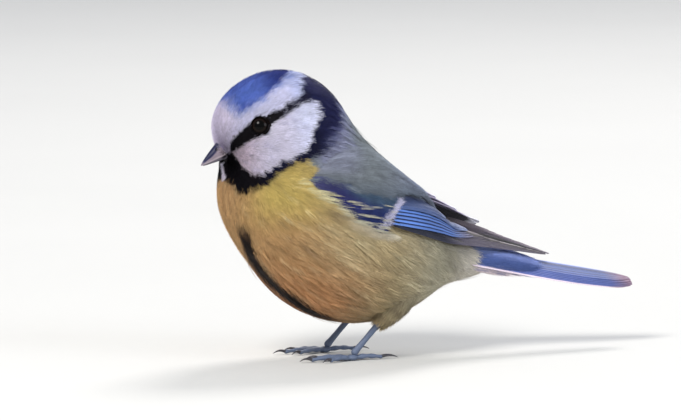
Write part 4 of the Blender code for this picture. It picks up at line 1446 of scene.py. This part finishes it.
def upper_bill_colour(share, lift, pit):
    """Grey-pink horn with a dark ridge tinted blue as a painted sky reflection, a pale cutting edge, a dusky
    root, and painted shade in the nostril.
    """
    ridge_from = 0.78 - 0.3 * smooth(0.3, 0.75, share)
    ridge = smooth(ridge_from - 0.1, ridge_from + 0.06, lift) * smooth(0.97, 0.86, share)
    colour = blend((126, 112, 124), (134, 124, 134), share)
    # The ridge is dark horn with a blue painted reflection of the sky
    colour = blend(colour, (20, 24, 60), ridge)
    colour = blend(colour, (176, 164, 172), smooth(0.2, 0.08, lift) * 0.7)
    # The nostril is darkened as painted shade in its hollow
    return blend(colour, (30, 28, 34), max(smooth(0.44, 0.32, share) * 0.6, pit * 0.9))


def mandible(name, height, material, node):
    """Half of the bill: a ball drawn out into a tapering D with its flat side on the mouth."""
    along, upward = bill_axes()
    bm = bmesh.new()
    marks = bm.verts.layers.float_color.new("Marking")
    bmesh.ops.create_uvsphere(bm, u_segments=64, v_segments=90, radius=1)
    upper = height > 0
    length = BILL_LENGTH if upper else BILL_LENGTH - LOWER_BILL_SHORTER
    root = BILL_TIP - along * BILL_LENGTH
    nostril = BILL_TIP - along * 4.6 + upward * 1.9
    for vert in bm.verts:
        share = math.acos(max(-1, min(1, -vert.co.z))) / math.pi
        angle = math.atan2(vert.co.y, vert.co.x)
        left = 1 - share * 0.985
        end = math.sqrt(max(0, 1 - (max(0, share - 0.97) / 0.03) ** 2)) * min(1, 9 * share + 0.02)
        taper = min(1, 1.32 * left**0.8) * end
        narrow = min(1, 1.38 * left**0.8) * end
        wide = BILL_HALF_WIDTH * narrow * math.copysign(abs(math.cos(angle)) ** 0.85, math.cos(angle))
        lift = math.sin(angle)
        tall = abs(height) * taper * (lift**0.95 if lift > 0 else lift * 0.1) + 0.08
        spot = root + along * (length * share) + Vector((wide, 0, 0)) + upward * math.copysign(tall, height)
        # The lower bill's darker grey is partly its own horn and partly painted shade beneath the bill
        colour = blend((84, 80, 92), (124, 120, 130), share)
        if upper:
            off = (spot - nostril).yz.length
            pit = math.exp(-((off / NOSTRIL_RADIUS) ** 2)) if abs(wide) > 0.6 else 0
            spot.x -= math.copysign(0.35 * pit, wide)
            colour = upper_bill_colour(share, max(lift, 0), pit)
        vert.co = spot
        vert[marks] = (*linear(colour), 1)
    bmesh_object(name, bm, material, (node,), 50)


def grow_bristles():
    """Stiff little feathers that lean over the nostrils and the corners of the mouth."""
    along, upward = (np.array(v) for v in bill_axes())
    count = 260
    angle = chance.uniform(-0.35, math.pi + 0.35, count)
    out = swung(SIDEWAYS, upward, angle)
    base = np.array(BILL_TIP) - along * chance.uniform(5.7, 6.9, count)[:, None]
    tall = np.where(np.sin(angle) > 0, 3.3, 1.2)
    roots = base + out * np.stack([np.ones(count) * 2.0, tall, tall], axis=1) * 0.82
    length = chance.uniform(0.9, 1.7, count)
    heading = along + out * chance.uniform(0.0, 0.28, count)[:, None] + chance.normal(0, 0.1, (count, 3))
    tips = roots + unit(heading) * length[:, None]
    black = (np.sin(angle) < 0.55) | (chance.random(count) < 0.3)
    colours = linear(np.where(black[:, None], (34, 30, 38), (204, 190, 204))) * uneven(0.15, count)
    paths = np.stack([roots, tips], axis=1)
    blades(
        "coat_bristles", FEATHERING[EYE_STRIPE], paths, out, np.full(count, 0.11),
        colours * 0.7, colours,
    )


def looking_out(side, sink=0.0):
    """The turn and place that set a thing made round Z into an eye's place."""
    place, normal = EYES[side]
    turn = Vector(normal).to_track_quat("Z", "Y").to_matrix().to_4x4()
    return Matrix.Translation(Vector(place - normal * sink)) @ turn


def make_eye(side, word):
    """The ball of the eye, sunk into the plumage."""
    bm = bmesh.new()
    bmesh.ops.create_uvsphere(bm, u_segments=48, v_segments=32, radius=EYE_RADIUS)
    bmesh.ops.transform(bm, matrix=looking_out(side, EYE_SINK), verts=bm.verts)
    bmesh_object("eyeball_" + word, bm, eye_material(side, word), ("eye_" + word,), 180)


def make_lid(side, word, material):
    """The bare rim of the lids, a thin ring with small folds."""
    bm = bmesh.new()
    bmesh.ops.create_circle(bm, segments=10, radius=LID_THICK / 2)
    bmesh.ops.rotate(bm, verts=bm.verts, matrix=Matrix.Rotation(math.pi / 2, 3, "X"))
    bmesh.ops.translate(bm, verts=bm.verts, vec=(LID_RADIUS, 0, 0))
    bmesh.ops.spin(
        bm, geom=bm.verts[:] + bm.edges[:], cent=(0, 0, 0), axis=(0, 0, 1),
        angle=math.tau, steps=48, use_merge=True,
    )
    for vert in bm.verts:
        angle = math.atan2(vert.co.y, vert.co.x)
        folds = 1 + 0.03 * math.sin(17 * angle) + 0.02 * math.sin(29 * angle + 1)
        vert.co.z = vert.co.z * 0.8 * folds + 0.12
    bmesh.ops.transform(bm, matrix=looking_out(side), verts=bm.verts)
    bmesh_object("lid_" + word, bm, material, (), 180)


def ball_tube(bm, points, radii, sides=16, rows=40):
    """Adds a closed stem: a ball drawn out along a line of points with a radius at each."""
    points = np.array([tuple(p) for p in points], float)
    made = bmesh.ops.create_uvsphere(bm, u_segments=sides, v_segments=rows, radius=1)["verts"]
    steps = np.r_[0, np.cumsum(np.linalg.norm(np.diff(points, axis=0), axis=1))]
    total = steps[-1]

    def spot(reach):
        return np.array([np.interp(min(max(reach, 0), total), steps, points[:, k]) for k in range(3)])

    for vert in made:
        share = math.acos(max(-1, min(1, -vert.co.z))) / math.pi
        reach = share * total
        way = Vector(unit(spot(reach + 0.05) - spot(reach - 0.05)))
        side = way.cross(Vector((0, 0.02, 1))).normalized()
        other = side.cross(way)
        radius = float(np.interp(reach, steps, radii))
        end = min(reach, total - reach) / max(radius, 1e-6)
        radius *= math.sqrt(max(0, 1 - (1 - min(1, end)) ** 2))
        if share < 1e-4 or share > 1 - 1e-4:
            radius = 0
        angle = math.atan2(vert.co.y, vert.co.x)
        vert.co = Vector(spot(reach)) + (side * math.cos(angle) + other * math.sin(angle)) * radius


def make_tarsus(side, word, skin):
    """The bare shank, with its scutes as low steps."""
    foot, upward = tarsus_line(side)
    bm = bmesh.new()
    reaches = np.linspace(0.2, TROUSER_END + 1.2, 120)
    scutes = SCUTE_HIGH * (np.abs(np.sin(reaches * 3.4)) ** 0.4 - 1)
    radii = np.interp(reaches, (0.2, 1.3, 2.2, 5, 10), (0.85, 0.8, 0.7, 0.63, 0.72)) + scutes
    ball_tube(bm, [foot + upward * float(r) for r in reaches], radii, 20, 120)
    bmesh_object("tarsus_" + word, bm, skin, ("leg_" + word,), 60)


def make_foot(side, word, skin, horn):
    """Four toes with pads, scutes and curved claws, on a joint that they share."""
    foot, _ = tarsus_line(side)
    toes = bmesh.new()
    claws = bmesh.new()
    bmesh.ops.create_uvsphere(toes, u_segments=24, v_segments=14, radius=1)
    shape = Matrix.Translation(foot - Vector((0, 0, 0.45))) @ Matrix.Diagonal((1.15, 1.4, 0.7, 1))
    bmesh.ops.transform(toes, matrix=shape, verts=toes.verts)
    for turn, length, claw in TOES:
        angle = math.radians(turn) * side
        ahead = Vector((math.sin(angle), -math.cos(angle), 0))
        t = np.linspace(0, 1, 60)
        below = 0.6 - 0.35 * np.sin(math.pi * t)
        points = [foot + ahead * float(length * s) - Vector((0, 0, float(d))) for s, d in zip(t, below)]
        pads = 1.02 - 0.3 * t + 0.12 * np.cos(t * 19)
        scutes = 0.03 * (np.abs(np.sin(t * length * 3.3)) ** 0.4 - 1)
        ball_tube(toes, points, (TOE_RADIUS * pads + scutes) * 0.92, 16, 60)
        t = np.linspace(0, 1, 20)
        hook = 0.55 * np.sin(2.2 * t) - 0.75 * t * t
        reach = length - 0.5 + claw * t
        points = [foot + ahead * float(r) + Vector((0, 0, float(h) - 0.55)) for r, h in zip(reach, hook)]
        ball_tube(claws, points, CLAW_RADIUS * (1 - 0.86 * t), 12, 24)
    for bm, name, material in ((toes, "toes_", skin), (claws, "claws_", horn)):
        for vert in bm.verts:
            vert.co.z = max(vert.co.z, 0.02)
        bmesh_object(name + word, bm, material, ("foot_" + word,), 60)


# Light, floor and camera


def add_area(name, place, target, size, power, colour):
    light = bpy.data.lights.new(name, "AREA")
    light.shape = "DISK"
    light.size = size
    light.energy = power
    light.color = colour
    obj = bpy.data.objects.new(name, light)
    obj.location = place
    way = Vector(target) - Vector(place)
    obj.rotation_euler = way.to_track_quat("-Z", "Y").to_euler()
    bpy.context.scene.collection.objects.link(obj)


def make_floor():
    bm = bmesh.new()
    bmesh.ops.create_grid(bm, x_segments=8, y_segments=8, size=6)
    mesh = bpy.data.meshes.new("floor")
    bm.to_mesh(mesh)
    bm.free()
    material, tree, shader = new_material("pale_floor", 0.75, 0.2)
    shade(tree, shader, 0.75, (9.0, 0.05), (260.0, 0.04), (0.62, 0.62, 0.60, 1))
    mesh.materials.append(material)
    floor = bpy.data.objects.new("floor", mesh)
    bpy.context.scene.collection.objects.link(floor)


def make_light():
    world = bpy.data.worlds.new("studio")
    world.use_nodes = True
    sky = world.node_tree.nodes["Background"]
    sky.inputs["Color"].default_value = (0.86, 0.90, 1.0, 1)
    sky.inputs["Strength"].default_value = 0.55
    bpy.context.scene.world = world
    middle = (0, 0, 0.035)
    add_area("key", (0.55, -0.75, 0.95), middle, 0.5, 16, (1.0, 0.97, 0.92))
    add_area("fill", (0.9, 0.7, 0.5), middle, 0.7, 5, (0.85, 0.91, 1.0))
    add_area("rim", (-0.6, 0.5, 0.9), middle, 0.4, 8, (1.0, 0.97, 0.95))


# The camera's angle and scale, the photograph's width and middle, and where it shows the origin
AZIMUTH = math.radians(68)
ELEVATION = math.radians(6)
PIXELS_PER_MM = 4.5
PHOTO_WIDTH = 681
PHOTO_MIDDLE = (340.5, 210)
ORIGIN_PIXEL = (328, 357)
LENS = 400
SENSOR = 36


def make_camera():
    right = np.array([math.cos(AZIMUTH), math.sin(AZIMUTH), 0])
    level = np.array([-math.sin(AZIMUTH), math.cos(AZIMUTH), 0])
    up = level * math.sin(ELEVATION) + np.array([0, 0, math.cos(ELEVATION)])
    back = np.cross(right, up)
    target = right * (PHOTO_MIDDLE[0] - ORIGIN_PIXEL[0]) + up * (ORIGIN_PIXEL[1] - PHOTO_MIDDLE[1])
    distance = PHOTO_WIDTH * LENS / SENSOR
    data = bpy.data.cameras.new("camera")
    data.lens = LENS
    data.sensor_width = SENSOR
    data.clip_start = 0.05
    data.clip_end = 50
    camera = bpy.data.objects.new("camera", data)
    camera.location = Vector(((target + back * distance) / PIXELS_PER_MM + SHIFT) * MM)
    camera.rotation_euler = (-Vector(back)).to_track_quat("-Z", "Y").to_euler()
    bpy.context.scene.collection.objects.link(camera)
    bpy.context.scene.camera = camera


make_camera()
make_light()
make_floor()
bpy.context.scene.view_settings.view_transform = "Standard"

skin = make_skin()
grow_coat(skin, 46000)
grow_wisps(skin, 5200)
grow_trousers()

vanes = {
    "flight": vane_material("flight_feathers", 0.5),
    "covert": vane_material("covert_feathers", 0.6, 34.0, 9.0, 0.3),
    "tail": vane_material("tail_feathers", 0.5, 110.0, 22.0),
}
for edges, (side, word) in zip((LEFT_WING, RIGHT_WING), SIDES):
    surface, span = wing_map(edges, side)
    make_wing((surface, span, side), word, vanes)
    grow_scapulars(surface, side, word)
    grow_coverts(surface, word)
    grow_wingbar(surface, word)
    grow_flank(surface, word)
    grow_strands(surface, word)
make_tail(vanes["tail"])
grow_tail_coverts()

bill_horn = bill_material()
mandible("bill_upper_horn", BILL_TOP, bill_horn, "bill_upper")
mandible("bill_lower_horn", -BILL_BOTTOM, bill_horn, "bill_lower")
grow_bristles()
lid_skin = bare_material("lid_skin", (4, 3, 4), 0.75, 1500.0, 0.3, 0.3, 0.05)
leg_skin = bare_material("leg_scutes", (92, 104, 128), 0.5, 1100.0, 0.35, 0.5)
claw_horn = bare_material("claw_horn", (58, 56, 62), 0.3, 800.0, 0.3, 0.15)
for side, word in SIDES:
    make_eye(side, word)
    make_lid(side, word, lid_skin)
    make_tarsus(side, word, leg_skin)
    make_foot(side, word, leg_skin, claw_horn)
